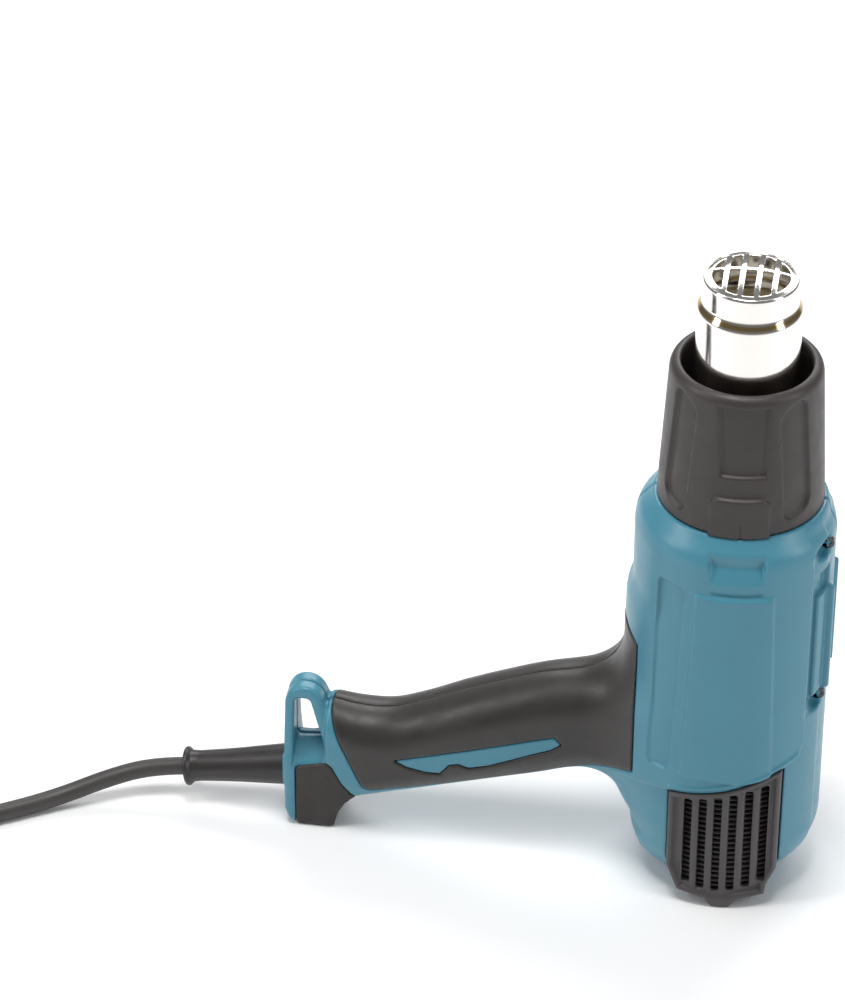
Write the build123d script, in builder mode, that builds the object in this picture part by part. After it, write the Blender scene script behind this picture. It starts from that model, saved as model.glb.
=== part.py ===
"""Mains heat gun, standing on its rear end: millimetres, +Z along the barrel towards the outlet.

The origin is on the barrel axis, on the surface that the gun stands on.  The handle points
along -X and the gun's two shells meet on the plane y = 0: left is -Y and right is +Y.
"""
from build123d import *
from math import atan2, cos, pi, radians, sin
import os

os.makedirs("parts", exist_ok=True)

# ---------------------------------------------------------------- driving dimensions
WALL = 3.0                # plastic shell wall
SKIN = 2.0                # soft grip cover thickness
FIT = 0.3                 # gap between a moving piece and its neighbours

REAR_Z = 3.0              # rear face of the shells
BARREL_R = 37.0           # motor barrel
REAR_ROUND = 24.0         # rounding of the rear edge
SHOULDER_Z = 152.0        # start of the front shoulder
COLLAR_Z = 166.0          # front face of the shells
COLLAR_R = 31.4
STEP_Z = 148.0            # ledge inside the barrel that the heater flange seats on

SLEEVE_BOTTOM_Z = 156.0
SLEEVE_TOP_Z = 222.8
SLEEVE_BASE_R = 30.4
SLEEVE_TOP_R = 27.4
SLEEVE_MOUTH_R = 23.5
SPIGOT_R = 29.2           # plug-in end of the sleeve

OUTLET_R = 17.0           # 34 mm outlet that nozzles slip onto
OUTLET_Z = 257.0          # rim of the outlet
OUTLET_NECK_Z = 247.4     # lower end of the 34 mm length
TUBE_R = 18.8             # tube behind the outlet
TUBE_SHOULDER_Z = 244.4
TUBE_WALL = 0.8
TUBE_BOTTOM_Z = 126.0
DOME_Z = 259.0            # crown of the outlet grille

MOTOR_R = 18.0
MOTOR_Z = (42.0, 78.0)
SHAFT_R = 1.5
BEARING_GAP = 0.05
FAN_R = 28.3
FAN_Z = (86.0, 98.0)
SHROUD_R = 31.0

SWITCH_X = -72.0          # middle of the switch along the handle
SWITCH_TRAVEL = 9.0       # off, low, high: 4.5 mm a step

CORD_D = 7.0
COIL_MID_R = 39.6
COIL_CENTRE = (-352.0, -14.0)
COIL_BASE_Z = 1.0         # the coil lies on its two ties
COIL_LAYERS = 3

# handle sections: x, middle z, half depth, half width, corner radius
HANDLE = [
    (-30, 63.0, 23.0, 17.5, 14.5),
    (-44, 60.6, 21.8, 16.8, 14.0),
    (-58, 58.0, 20.8, 16.4, 14.0),
    (-70, 54.5, 21.4, 16.0, 14.0),
    (-85, 49.6, 20.8, 16.0, 14.0),
    (-100, 44.3, 20.0, 15.8, 14.0),
    (-115, 38.5, 18.8, 15.2, 13.5),
    (-128, 34.2, 18.3, 14.8, 13.0),
    (-140, 32.2, 19.9, 15.0, 13.0),
    (-151, 32.2, 22.0, 15.2, 13.0),
]


def prism(points, half_width):
    """A side-view outline (x, z) pulled out to both sides of the plane y = 0."""
    with BuildPart() as solid:
        with BuildSketch(Plane.XZ):
            with BuildLine():
                Polyline(*points, close=True)
            make_face()
        extrude(amount=half_width, both=True)
    return solid.part


def ring(profile):
    """A closed half section (r, z) turned about the barrel axis."""
    with BuildPart() as solid:
        with BuildSketch(Plane.XZ):
            with BuildLine():
                Polyline(*profile, close=True)
            make_face()
        revolve(axis=Axis.Z)
    return solid.part


def keep(shape, part_name):
    """Label a finished piece and write its STEP."""
    shape.label = part_name
    export_step(shape, "parts/" + part_name + ".step")


def handle_form(inset, first=0, last=len(HANDLE)):
    """The handle's outside, or the same form moved in by inset."""
    with BuildPart() as form:
        for x, z, depth, width, corner in HANDLE[first:last]:
            with BuildSketch(Plane(origin=(x, 0, z), x_dir=(0, 1, 0), z_dir=(-1, 0, 0))):
                RectangleRounded(2 * (width - inset), 2 * (depth - inset), corner - inset)
        loft()
    return form.part


# ---------------------------------------------------------------- outside form of the shells
def barrel_form(inset):
    """The barrel: rounded rear edge, straight side and sloping front shoulder."""
    side = BARREL_R - inset
    corner = REAR_ROUND - inset
    rear = REAR_Z + inset
    with BuildPart() as form:
        with BuildSketch(Plane.XZ):
            with BuildLine():
                Line((0, rear), (side - corner, rear))
                RadiusArc((side - corner, rear), (side, rear + corner), -corner)
                Line((side, rear + corner), (side, SHOULDER_Z))
                Spline(
                    [(side, SHOULDER_Z), (side - 1.8, SHOULDER_Z + 9), (COLLAR_R - inset, COLLAR_Z)],
                    tangents=[(0, 1), (-1, 0.3)],
                )
                Line((COLLAR_R - inset, COLLAR_Z), (0, COLLAR_Z))
                Line((0, COLLAR_Z), (0, rear))
            make_face()
        revolve(axis=Axis.Z)
    return form.part


SADDLE_X = -9.0           # the barrel swells towards the handle: a second, offset round
SADDLE_R = 31.0
SADDLE_Z = (24.0, 130.0)


def saddle_form(inset):
    """The swelling of the barrel where the handle joins it."""
    low, high = SADDLE_Z
    with BuildPart() as form:
        with BuildSketch(Plane.XY.offset(low)):
            with Locations((SADDLE_X, 0)):
                Circle(SADDLE_R - inset)
        extrude(amount=high - low)
        edges_to_soften = form.edges().filter_by(GeomType.CIRCLE)
        chamfer(edges_to_soften, length=14, length2=3.5, reference=form.faces().filter_by(
            GeomType.CYLINDER)[0])
    return form.part


def web_form(inset):
    """Concave fillets that run the handle into the barrel, in front of it and behind it."""
    with BuildPart() as form:
        with BuildSketch(Plane.XZ):
            with BuildLine():
                ThreePointArc((-56, 79 - inset), (-44.8 + inset, 85.4 - inset), (-39.2 + inset, 104))
                Line((-39.2 + inset, 104), (-28, 104))
                Line((-28, 104), (-28, 24))
                Line((-28, 24), (-38.4 + inset, 24))
                ThreePointArc((-38.4 + inset, 24), (-42.4 + inset, 34.6 + inset), (-52, 39.2 + inset))
                Line((-52, 39.2 + inset), (-56, 79 - inset))
            make_face()
        extrude(amount=11 - inset, both=True)
    return form.part


# side view of the butt: the foot, and the hanging loop in front of it
FOOT_HALF_WIDTH = 12.5
LOOP_HALF_WIDTH = 6.0
LOOP_HOLE = [(-163.2, 57.4), (-157.9, 57.0), (-152.8, 37.2), (-153.4, 34.4), (-164.4, 33.8),
             (-165.3, 37.0), (-164.8, 54.9)]


def butt_form():
    """The butt that the handle ends in: a flared foot under a hanging loop."""
    with BuildPart() as form:
        with BuildSketch(Plane.XZ):
            with BuildLine():
                Line((-168.6, 7), (-168.6, 31))
                Line((-168.6, 31), (-150, 34))
                Line((-150, 34), (-138.5, 24))
                Line((-138.5, 24), (-139.2, 16.8))
                ThreePointArc((-139.2, 16.8), (-145.0, 11.4), (-149.6, 0))
                Line((-149.6, 0), (-163.4, 0))
                ThreePointArc((-163.4, 0), (-167.2, 2.2), (-168.6, 7))
            make_face()
        extrude(amount=FOOT_HALF_WIDTH, both=True)
        with BuildSketch(Plane.XZ):
            with BuildLine():
                Line((-168.6, 20), (-168.6, 56))
                ThreePointArc((-168.6, 56), (-165.6, 62.0), (-160.6, 63.8))
                ThreePointArc((-160.6, 63.8), (-155.8, 61.6), (-153.4, 56.4))
                Line((-153.4, 56.4), (-146, 30))
                Line((-146, 30), (-150, 20))
                Line((-150, 20), (-168.6, 20))
            make_face()
            with BuildLine(mode=Mode.PRIVATE) as hole:
                Polyline(*LOOP_HOLE, close=True)
            make_face(hole.edges(), mode=Mode.SUBTRACT)
        extrude(amount=LOOP_HALF_WIDTH, both=True)
    return form.part


with BuildPart() as outer:
    add(barrel_form(0))
    add(saddle_form(0))
    add(handle_form(0))
    add(web_form(0))
    add(butt_form())

with BuildPart() as cavity:
    add(barrel_form(WALL))
    add(saddle_form(WALL + 1))
    add(handle_form(WALL + SKIN / 2, first=1))
    add(prism([(-60, 66), (-60, 50), (-30, 50), (-30, 70)], 10))


# ---------------------------------------------------------------- soft grip cover
GRIP_OUTLINE = [(-153.0, 92), (-150.6, 61.3), (-146.8, 46.9), (-139.0, 25.7), (-136.6, 20.8),
                (-113.5, 25.2), (-85.6, 32.2), (-58.0, 41.5), (-49.7, 45.4), (-38, 48.9),
                (-33.6, 50.4), (-33.6, 106.5), (-38.6, 110.0), (-60, 110.0)]
WINDOW_OUTLINE = [(-125.1, 37.7), (-63.3, 56.8), (-61.4, 53.6), (-65.0, 50.9), (-88.9, 40.4),
                  (-96.3, 38.3), (-100.0, 39.6), (-103.7, 38.8), (-107.4, 34.0), (-120.4, 35.3)]

with BuildPart() as grip_skin:
    add(handle_form(0))
    add(web_form(0))
    add(saddle_form(0))
    add(prism(GRIP_OUTLINE, 30), mode=Mode.INTERSECT)
    add(handle_form(SKIN), mode=Mode.SUBTRACT)
    add(web_form(SKIN), mode=Mode.SUBTRACT)
    add(saddle_form(SKIN), mode=Mode.SUBTRACT)
    with BuildSketch(Plane.XY.offset(20)):
        Circle(BARREL_R - 1.5)
    extrude(amount=120, mode=Mode.SUBTRACT)
    add(prism(WINDOW_OUTLINE, 30), mode=Mode.SUBTRACT)


def half(shape, side):
    """The left (-1) or right (+1) half of a shape that crosses the plane y = 0."""
    with BuildPart() as piece:
        add(shape)
        split(bisect_by=Plane.XZ, keep=Keep.TOP if side < 0 else Keep.BOTTOM)
    return piece.part


keep(half(grip_skin.part, -1), "grip_cover_left")


# ---------------------------------------------------------------- air intake
GRILLE_OUTLINE = [(-18.8, 51.0), (2.0, 56.2), (22.8, 63.9), (22.6, 17.2), (19.4, 10.0), (18.7, 5.2),
                  (8.7, 4.2), (6.0, 0), (-0.9, 0), (-3.9, 4.2), (-14.5, 5.2), (-18.8, 16.0)]
GRILLE_SECTION = [(34.2, 66), (38.3, 66), (38.3, 24), (36.6, 10), (34.8, 3), (34.4, 0), (29.5, 0),
                  (29.5, 9), (34.2, 20)]
SLOT_PITCH = 5.6
SLOT_WIDTH = 2.6
SLOT_X = [2.9 + SLOT_PITCH * (i - 2.5) for i in range(6)]
MESH_PITCH = 2.3


def side_prism(points, side, near=10.0, far=60.0):
    """A side-view outline (x, z) pulled out on one side of the gun only, |y| from near to far."""
    with BuildPart() as solid:
        with BuildSketch(Plane.XZ.offset(near if side < 0 else -near)):
            with BuildLine():
                Polyline(*points, close=True)
            make_face()
        extrude(amount=(far - near) * (1 if side < 0 else -1))
    return solid.part


for side, name in ((-1, "left"), (1, "right")):
    with BuildPart() as intake_grille:
        add(ring(GRILLE_SECTION))
        add(side_prism(GRILLE_OUTLINE, side), mode=Mode.INTERSECT)
        for x in SLOT_X:
            top = 49.5 + 0.33 * x
            low = 9.4 + 0.012 * x * x
            slot = [(x - SLOT_WIDTH / 2, low), (x + SLOT_WIDTH / 2, low),
                    (x + SLOT_WIDTH / 2, top), (x - SLOT_WIDTH / 2, top)]
            add(side_prism(slot, side), mode=Mode.SUBTRACT)
    keep(intake_grille.part, "intake_grille_" + name)

    with BuildPart() as dust_screen:
        add(ring([(32.6, 24), (33.6, 24), (33.6, 56), (32.6, 56)]))
        add(side_prism([(-15.5, 24), (20.5, 24), (20.5, 56), (-15.5, 56)], side), mode=Mode.INTERSECT)
        with BuildSketch(Plane.XZ):
            with Locations((2.5, 40)):
                with GridLocations(0, MESH_PITCH, 1, 13):
                    Rectangle(32, 1.2)
        extrude(amount=50, both=True, mode=Mode.SUBTRACT)
    keep(dust_screen.part, "dust_screen_" + name)


# ---------------------------------------------------------------- foot pads and rear bumper
PAD_OUTLINE = [(-164.0, 28.0), (-150.4, 30.6), (-148.2, 29.4), (-144.0, 20.4), (-140.2, 17.0),
               (-144.4, 12.6), (-147.4, 8.0), (-149.0, 0.0), (-164.0, 0.0)]
PAD_DEPTH = 1.6

for side, name in ((-1, "left"), (1, "right")):
    with BuildPart() as foot_pad:
        add(side_prism(PAD_OUTLINE, side, FOOT_HALF_WIDTH - PAD_DEPTH, FOOT_HALF_WIDTH))
    keep(foot_pad.part, "foot_pad_" + name)

BUMPER_R = 14.0
with BuildPart() as rear_bumper:
    with BuildSketch(Plane.XY):
        Circle(BUMPER_R)
    extrude(amount=REAR_Z)
    fillet(rear_bumper.edges().group_by(Axis.Z)[0], 1.0)
    with BuildSketch(Plane.XY.offset(REAR_Z)):
        Circle(3)
    extrude(amount=WALL)
keep(rear_bumper.part, "rear_bumper")


# ---------------------------------------------------------------- switch on the back of the handle
def on_handle(x, out=0.0, along=0.0):
    """A plane on the handle's back: +X along it towards the barrel, +Z straight out of it."""
    before, after = [(s[0], s[1] - s[2]) for s in HANDLE[3:5]]
    slope = atan2(before[1] - after[1], before[0] - after[0])
    z = before[1] + (x - before[0]) * sin(slope) / cos(slope)
    ahead = (cos(slope), 0, sin(slope))
    outward = (sin(slope), 0, -cos(slope))
    spot = Vector(x, 0, z) + Vector(*outward) * out + Vector(*ahead) * along
    return Plane(origin=spot, x_dir=ahead, z_dir=outward)


SLIDER_L, SLIDER_W = 13.0, 8.4
SLOT_L = SLIDER_L + SWITCH_TRAVEL + 2 * FIT
SWITCH_BODY = (38.0, 14.0, 13.0)

with BuildPart() as switch_recess:
    with BuildSketch(on_handle(SWITCH_X, out=4)):
        SlotOverall(SLOT_L + 8, SLIDER_W + 4)
    extrude(amount=-5.6, taper=12)

with BuildPart() as switch_slot:
    with BuildSketch(on_handle(SWITCH_X, out=4)):
        RectangleRounded(SLOT_L, SLIDER_W + 2 * FIT, 1.5)
    extrude(amount=-12)

# off is the end of the travel nearest the butt
SLIDER_REST = -SWITCH_TRAVEL / 2
with BuildPart() as switch_slider:
    with BuildSketch(on_handle(SWITCH_X, out=0.8, along=SLIDER_REST)):
        RectangleRounded(SLIDER_L, SLIDER_W, 1.4)
    extrude(amount=-4.6)
    chamfer(switch_slider.faces().sort_by(Axis.Z)[0].edges(), 0.6)
    with BuildSketch(on_handle(SWITCH_X, out=0.9, along=SLIDER_REST)):
        with GridLocations(2.4, 0, 4, 1):
            Rectangle(0.9, SLIDER_W - 2)
    extrude(amount=-0.7, mode=Mode.SUBTRACT)
    with BuildSketch(on_handle(SWITCH_X, out=-3.8, along=SLIDER_REST)):
        Rectangle(4, 3)
    extrude(amount=-5.0)
keep(switch_slider.part, "switch_slider")

with BuildPart() as switch_body:
    with BuildSketch(on_handle(SWITCH_X, out=-5.8)):
        Rectangle(SWITCH_BODY[0], SWITCH_BODY[1])
    extrude(amount=-SWITCH_BODY[2])
    with BuildSketch(on_handle(SWITCH_X, out=-5.7)):
        Rectangle(4 + SWITCH_TRAVEL + 2 * FIT, 3 + 2 * FIT)
    extrude(amount=-4.0, mode=Mode.SUBTRACT)
keep(switch_body.part, "switch_body")

with BuildPart() as switch_terminals:
    with BuildSketch(on_handle(SWITCH_X, out=-5.8 - SWITCH_BODY[2])):
        with GridLocations(8, 6, 4, 2):
            Rectangle(4.8, 0.8)
    extrude(amount=-6)
keep(switch_terminals.part, "switch_terminals")


# ---------------------------------------------------------------- power supply in the handle
def in_handle(x, side_offset=0.0, lift=0.0):
    """A plane through the middle of the handle: +X towards the barrel, +Z to the right (+Y)."""
    before, after = [(s[0], s[1]) for s in HANDLE[5:8:2]]
    slope = atan2(before[1] - after[1], before[0] - after[0])
    z = before[1] + (x - before[0]) * sin(slope) / cos(slope)
    spot = (x, side_offset, z + lift)
    return Plane(origin=spot, x_dir=(cos(slope), 0, sin(slope)), z_dir=(0, 1, 0))


BOARD = (34.0, 20.0, 1.6)
with BuildPart() as control_board:
    with BuildSketch(in_handle(-113, 5)):
        Rectangle(BOARD[0], BOARD[1])
        with GridLocations(BOARD[0] - 5, BOARD[1] - 5, 2, 2):
            Circle(1.2, mode=Mode.SUBTRACT)
    extrude(amount=BOARD[2])
keep(control_board.part, "control_board")

with BuildPart() as board_components:
    with BuildSketch(in_handle(-113, 5)):
        with Locations((-8, 3)):
            Rectangle(9, 7)
        with Locations((4, 4)):
            Rectangle(6, 4)
        with Locations((10, -3)):
            Circle(3.2)
        with Locations((-3, -6)):
            Rectangle(12, 3)
    extrude(amount=-7)
keep(board_components.part, "board_components")

with BuildPart() as terminal_block:
    with BuildSketch(in_handle(-135, -2)):
        Rectangle(10, 20)
    extrude(amount=8)
    with BuildSketch(in_handle(-135, 6.1)):
        with GridLocations(0, 6.4, 1, 3):
            Circle(1.8)
    extrude(amount=-4, mode=Mode.SUBTRACT)
keep(terminal_block.part, "terminal_block")


# ---------------------------------------------------------------- motor and fan
MOTOR_LOW, MOTOR_HIGH = MOTOR_Z
CAN_WALL = 1.2
MAGNET_R = (13.4, MOTOR_R - CAN_WALL)

with BuildPart() as motor_can:
    add(ring([(MOTOR_R - CAN_WALL, MOTOR_LOW + 3), (MOTOR_R, MOTOR_LOW + 3), (MOTOR_R, MOTOR_HIGH),
              (4, MOTOR_HIGH), (4, MOTOR_HIGH - CAN_WALL), (MOTOR_R - CAN_WALL, MOTOR_HIGH - CAN_WALL)]))
    with BuildSketch(Plane.XY.offset(MOTOR_HIGH)):
        with PolarLocations(10.5, 4, 45):
            Circle(2.4)
    extrude(amount=-CAN_WALL, mode=Mode.SUBTRACT)
keep(motor_can.part, "motor_can")

with BuildPart() as motor_end_cap:
    add(ring([(4, MOTOR_LOW), (MOTOR_R, MOTOR_LOW), (MOTOR_R, MOTOR_LOW + 3), (4, MOTOR_LOW + 3)]))
    with BuildSketch(Plane.XY.offset(MOTOR_LOW)):
        with Locations((-12, 0), (12, 0)):
            Rectangle(5, 2)
    extrude(amount=-6)
keep(motor_end_cap.part, "motor_end_cap")

with BuildPart() as motor_magnets:
    add(ring([(MAGNET_R[0], 52), (MAGNET_R[1], 52), (MAGNET_R[1], 74), (MAGNET_R[0], 74)]))
    with BuildSketch(Plane.XY.offset(50)):
        Rectangle(14, 50)
    extrude(amount=30, mode=Mode.SUBTRACT)
keep(motor_magnets.part, "motor_magnets")

with BuildPart() as motor_brushes:
    with BuildSketch(Plane.XY.offset(47)):
        with Locations((9.2, 0), (-9.2, 0)):
            Rectangle(9, 3.4)
    extrude(amount=3.4)
keep(motor_brushes.part, "motor_brushes")

with BuildPart() as motor_bearings:
    add(ring([(SHAFT_R + BEARING_GAP, MOTOR_LOW - 1), (4, MOTOR_LOW - 1), (4, MOTOR_LOW + 3),
              (SHAFT_R + BEARING_GAP, MOTOR_LOW + 3)]))
    add(ring([(SHAFT_R + BEARING_GAP, MOTOR_HIGH - 2), (4, MOTOR_HIGH - 2), (4, MOTOR_HIGH + 1.5),
              (SHAFT_R + BEARING_GAP, MOTOR_HIGH + 1.5)]))
keep(motor_bearings.part, "motor_bearings")

with BuildPart() as motor_shaft:
    with BuildSketch(Plane.XY.offset(MOTOR_LOW - 2)):
        Circle(SHAFT_R)
    extrude(amount=FAN_Z[1] + 1 - (MOTOR_LOW - 2))
keep(motor_shaft.part, "motor_shaft")

with BuildPart() as armature:
    with BuildSketch(Plane.XY.offset(53)):
        Circle(12.8)
        with PolarLocations(12.2, 8):
            Rectangle(2.4, 1.6, mode=Mode.SUBTRACT)
        Circle(SHAFT_R, mode=Mode.SUBTRACT)
    extrude(amount=20)
keep(armature.part, "armature")

with BuildPart() as commutator:
    add(ring([(SHAFT_R, 46.4), (4.4, 46.4), (4.4, 52.4), (SHAFT_R, 52.4)]))
    with BuildSketch(Plane.XY.offset(46.4)):
        with PolarLocations(4.3, 8):
            Rectangle(0.9, 0.4)
    extrude(amount=6, mode=Mode.SUBTRACT)
keep(commutator.part, "commutator")

BLADES = 9
FAN_HUB_R = 12.5
with BuildPart() as fan_impeller:
    add(ring([(SHAFT_R, FAN_Z[0]), (FAN_HUB_R, FAN_Z[0]), (FAN_HUB_R, FAN_Z[1] - 3),
              (FAN_HUB_R - 4, FAN_Z[1]), (SHAFT_R, FAN_Z[1])]))
    middle = (FAN_Z[0] + FAN_Z[1]) / 2
    for i in range(BLADES):
        turn = Rotation(0, 0, 360 / BLADES * i)
        blade = turn * Pos((FAN_HUB_R + FAN_R) / 2 - 0.6, 0, middle) * Rot(38, 0, 0)
        add(blade * Box(FAN_R - FAN_HUB_R + 1, 1.4, 13))
    with BuildSketch(Plane.XY.offset(FAN_Z[0] - 5)):
        Circle(FAN_R)
    extrude(amount=30, mode=Mode.INTERSECT)
    with BuildSketch(Plane.XY.offset(FAN_Z[0] - 5)):
        Circle(SHAFT_R)
    extrude(amount=30, mode=Mode.SUBTRACT)
keep(fan_impeller.part, "fan_impeller")

# the shroud holds the motor in a cup, rings the fan and funnels the air into the heater tube
SOCKET_R = TUBE_R + 0.05
with BuildPart() as fan_shroud:
    add(ring([(SHROUD_R, 74), (SHROUD_R, 106), (SOCKET_R + 2.4, 124), (SOCKET_R + 2.4, 134),
              (SOCKET_R, 134), (SOCKET_R, 125), (SHROUD_R - 2.2, 104.5), (SHROUD_R - 2.2, 74)]))
    add(ring([(MOTOR_R, 50), (MOTOR_R + 1.8, 50), (MOTOR_R + 1.8, 80.5), (10, 80.5), (10, 78.4),
              (MOTOR_R, 78.4)]))
    with BuildSketch(Plane.XY.offset(75)):
        with PolarLocations(24.4, 6):
            Rectangle(10.6, 1.8)
    extrude(amount=5.5)
keep(fan_shroud.part, "fan_shroud")


# ---------------------------------------------------------------- heater and outlet
with BuildPart() as outlet_tube:
    add(ring([(TUBE_R - TUBE_WALL, TUBE_BOTTOM_Z), (TUBE_R, TUBE_BOTTOM_Z), (TUBE_R, TUBE_SHOULDER_Z),
              (OUTLET_R, OUTLET_NECK_Z), (OUTLET_R, OUTLET_Z - 0.5), (OUTLET_R - 0.5, OUTLET_Z),
              (OUTLET_R - TUBE_WALL, OUTLET_Z), (OUTLET_R - TUBE_WALL, OUTLET_NECK_Z - 0.4),
              (TUBE_R - TUBE_WALL, TUBE_SHOULDER_Z - 0.4)]))
keep(outlet_tube.part, "outlet_tube")

# domed outlet grille: a rim, four bars one way and one bar across them
GRILLE_R = OUTLET_R - TUBE_WALL
DOME_RISE = DOME_Z - OUTLET_Z
DOME_BALL = (GRILLE_R ** 2 + DOME_RISE ** 2) / (2 * DOME_RISE)
CELL_X = [-11.6, -5.9, 0, 5.9, 11.6]
with BuildPart() as outlet_grille:
    with Locations((0, 0, DOME_Z - DOME_BALL)):
        Sphere(DOME_BALL)
        Sphere(DOME_BALL - 1.2, mode=Mode.SUBTRACT)
    with BuildSketch(Plane.XY.offset(OUTLET_Z - 4)):
        Circle(GRILLE_R)
    extrude(amount=8, mode=Mode.INTERSECT)
    with BuildSketch(Plane.XY.offset(OUTLET_Z - 4)):
        for x in CELL_X:
            for low, high in ((-11.4, 1.2), (3.2, 11.4)):
                with Locations((x, (low + high) / 2)):
                    Rectangle(3.7, high - low)
        Circle(GRILLE_R - 2.2, mode=Mode.INTERSECT)
    extrude(amount=8, mode=Mode.SUBTRACT)
keep(outlet_grille.part, "outlet_grille")

FLANGE_Z = (STEP_Z - 2.4, STEP_Z)
with BuildPart() as heater_flange:
    with BuildSketch(Plane.XY.offset(FLANGE_Z[0])):
        Circle(BARREL_R - WALL - 0.2)
        Circle(SOCKET_R, mode=Mode.SUBTRACT)
        with PolarLocations(26, 4, 45):
            Circle(1.6, mode=Mode.SUBTRACT)
    extrude(amount=FLANGE_Z[1] - FLANGE_Z[0])
keep(heater_flange.part, "heater_flange")

HEATER_Z = (138.0, 238.0)
MICA_R = (17.2, 17.9)
with BuildPart() as mica_sleeve:
    add(ring([(MICA_R[0], HEATER_Z[0] - 1), (MICA_R[1], HEATER_Z[0] - 1), (MICA_R[1], HEATER_Z[1] + 3),
              (MICA_R[0], HEATER_Z[1] + 3)]))
keep(mica_sleeve.part, "mica_sleeve")

BORES = 7
BORE_RING_R = 11.0
with BuildPart() as heater_core:
    with BuildSketch(Plane.XY.offset(HEATER_Z[0])):
        Circle(MICA_R[0] - 0.2)
        with PolarLocations(BORE_RING_R, BORES):
            Circle(3.3, mode=Mode.SUBTRACT)
        Circle(3.0, mode=Mode.SUBTRACT)
    extrude(amount=HEATER_Z[1] - HEATER_Z[0])
keep(heater_core.part, "heater_core")

with BuildPart() as heater_coils:
    with BuildSketch(Plane.XY.offset(HEATER_Z[0] - 3)):
        with PolarLocations(BORE_RING_R, BORES):
            Circle(2.3)
            Circle(1.5, mode=Mode.SUBTRACT)
    extrude(amount=HEATER_Z[1] - HEATER_Z[0] + 1)
keep(heater_coils.part, "heater_coils")

with BuildPart() as thermal_cutout:
    with BuildSketch(Plane.XY.offset(127)):
        RectangleRounded(9, 4, 1)
    extrude(amount=7)
keep(thermal_cutout.part, "thermal_cutout")

with BuildPart() as heat_sleeve:
    add(ring([(SPIGOT_R, SLEEVE_BOTTOM_Z), (SPIGOT_R, COLLAR_Z + FIT), (SLEEVE_BASE_R, COLLAR_Z + FIT),
              (SLEEVE_TOP_R, SLEEVE_TOP_Z - 2.0), (SLEEVE_TOP_R - 2.0, SLEEVE_TOP_Z),
              (SLEEVE_MOUTH_R + 0.4, SLEEVE_TOP_Z), (SLEEVE_MOUTH_R, SLEEVE_TOP_Z - 0.8),
              (26.4, COLLAR_Z), (26.4, SLEEVE_BOTTOM_Z)]))
    with BuildSketch(Plane.XY.offset(COLLAR_Z + 9)):
        with PolarLocations(28.2, 12, 15):
            Rectangle(3.6, 1.6)
    extrude(amount=36, taper=1)
keep(heat_sleeve.part, "heat_sleeve")


# ---------------------------------------------------------------- strain relief and cord entry
RELIEF_BASE = (-168.6, 0, 19.7)
RELIEF_DROOP = radians(8.6)
RELIEF_LENGTH = 41.0
relief_out = Vector(-cos(RELIEF_DROOP), 0, -sin(RELIEF_DROOP))
relief_plane = Plane(origin=RELIEF_BASE, x_dir=relief_out, z_dir=(0, 1, 0))
relief_axis = Axis(RELIEF_BASE, relief_out)
CORD_EXIT = Vector(*RELIEF_BASE) + relief_out * RELIEF_LENGTH


def along_relief(profile):
    """A closed half section (distance out of the butt, radius) turned about the cord's exit line."""
    with BuildPart() as solid:
        with BuildSketch(relief_plane):
            with BuildLine():
                Polyline(*profile, close=True)
            make_face()
        revolve(axis=relief_axis)
    return solid.part


with BuildPart() as strain_relief:
    add(along_relief([(-9, CORD_D / 2), (-9, 10), (-6, 10), (-6, 8.0), (0.6, 8.0), (12, 7.2), (24, 6.4),
                      (35, 6.0), (38.5, 6.3), (39.4, 7.6), (40.6, 7.6), (RELIEF_LENGTH, 7.0),
                      (RELIEF_LENGTH, CORD_D / 2)]))
keep(strain_relief.part, "strain_relief")

with BuildPart() as cord_tail:
    add(along_relief([(-24, 0), (-24, CORD_D / 2), (RELIEF_LENGTH, CORD_D / 2), (RELIEF_LENGTH, 0)]))
keep(cord_tail.part, "cord_tail")

clamp_plane = Plane(origin=Vector(*RELIEF_BASE) - relief_out * 24, x_dir=(0, 1, 0), z_dir=relief_out)
with BuildPart() as cord_clamp:
    with BuildSketch(clamp_plane):
        Rectangle(17.4, 11)
        Circle(CORD_D / 2, mode=Mode.SUBTRACT)
        with GridLocations(13, 0, 2, 1):
            Circle(1.3, mode=Mode.SUBTRACT)
    extrude(amount=5)
keep(cord_clamp.part, "cord_clamp")

with BuildPart() as clamp_screws:
    with BuildSketch(clamp_plane.offset(-1.8)):
        with GridLocations(13, 0, 2, 1):
            Circle(2.2)
    extrude(amount=1.8)
    with BuildSketch(clamp_plane):
        with GridLocations(13, 0, 2, 1):
            Circle(1.3)
    extrude(amount=5)
keep(clamp_screws.part, "clamp_screws")


# ---------------------------------------------------------------- shell screws: x, z, side of the head
SCREWS = [(33.0, 153.0, -1, 9.5), (33.0, 85.0, -1, 9.5), (-28.5, 137.0, 1, 18.0),
          (-90.0, 60.5, 1, 10.5), (-146.5, 44.0, 1, 10.0), (30.0, 26.0, 1, 14.0)]
SCREW_R = 1.5
HEAD_R = 2.4
SCREW_BOSS_R = 3.6


def screw_solid(x, z, side, head_y, reach=8.0):
    """One shell screw along Y: a pan head at head_y, and a shank that ends past the joint plane."""
    with BuildPart() as solid:
        with BuildSketch(Plane(origin=(x, side * head_y, z), x_dir=(1, 0, 0), z_dir=(0, side, 0))):
            Circle(HEAD_R)
        extrude(amount=-1.8)
        with BuildSketch(Plane(origin=(x, side * (head_y - 1.8), z), x_dir=(1, 0, 0), z_dir=(0, side, 0))):
            Circle(SCREW_R)
        extrude(amount=-(head_y - 1.8 + reach))
    return solid.part


def along_y(x, z, radius, low, high):
    """A round bar parallel to Y."""
    with BuildPart() as solid:
        with BuildSketch(Plane(origin=(x, low, z), x_dir=(1, 0, 0), z_dir=(0, 1, 0))):
            Circle(radius)
        extrude(amount=high - low)
    return solid.part


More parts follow.
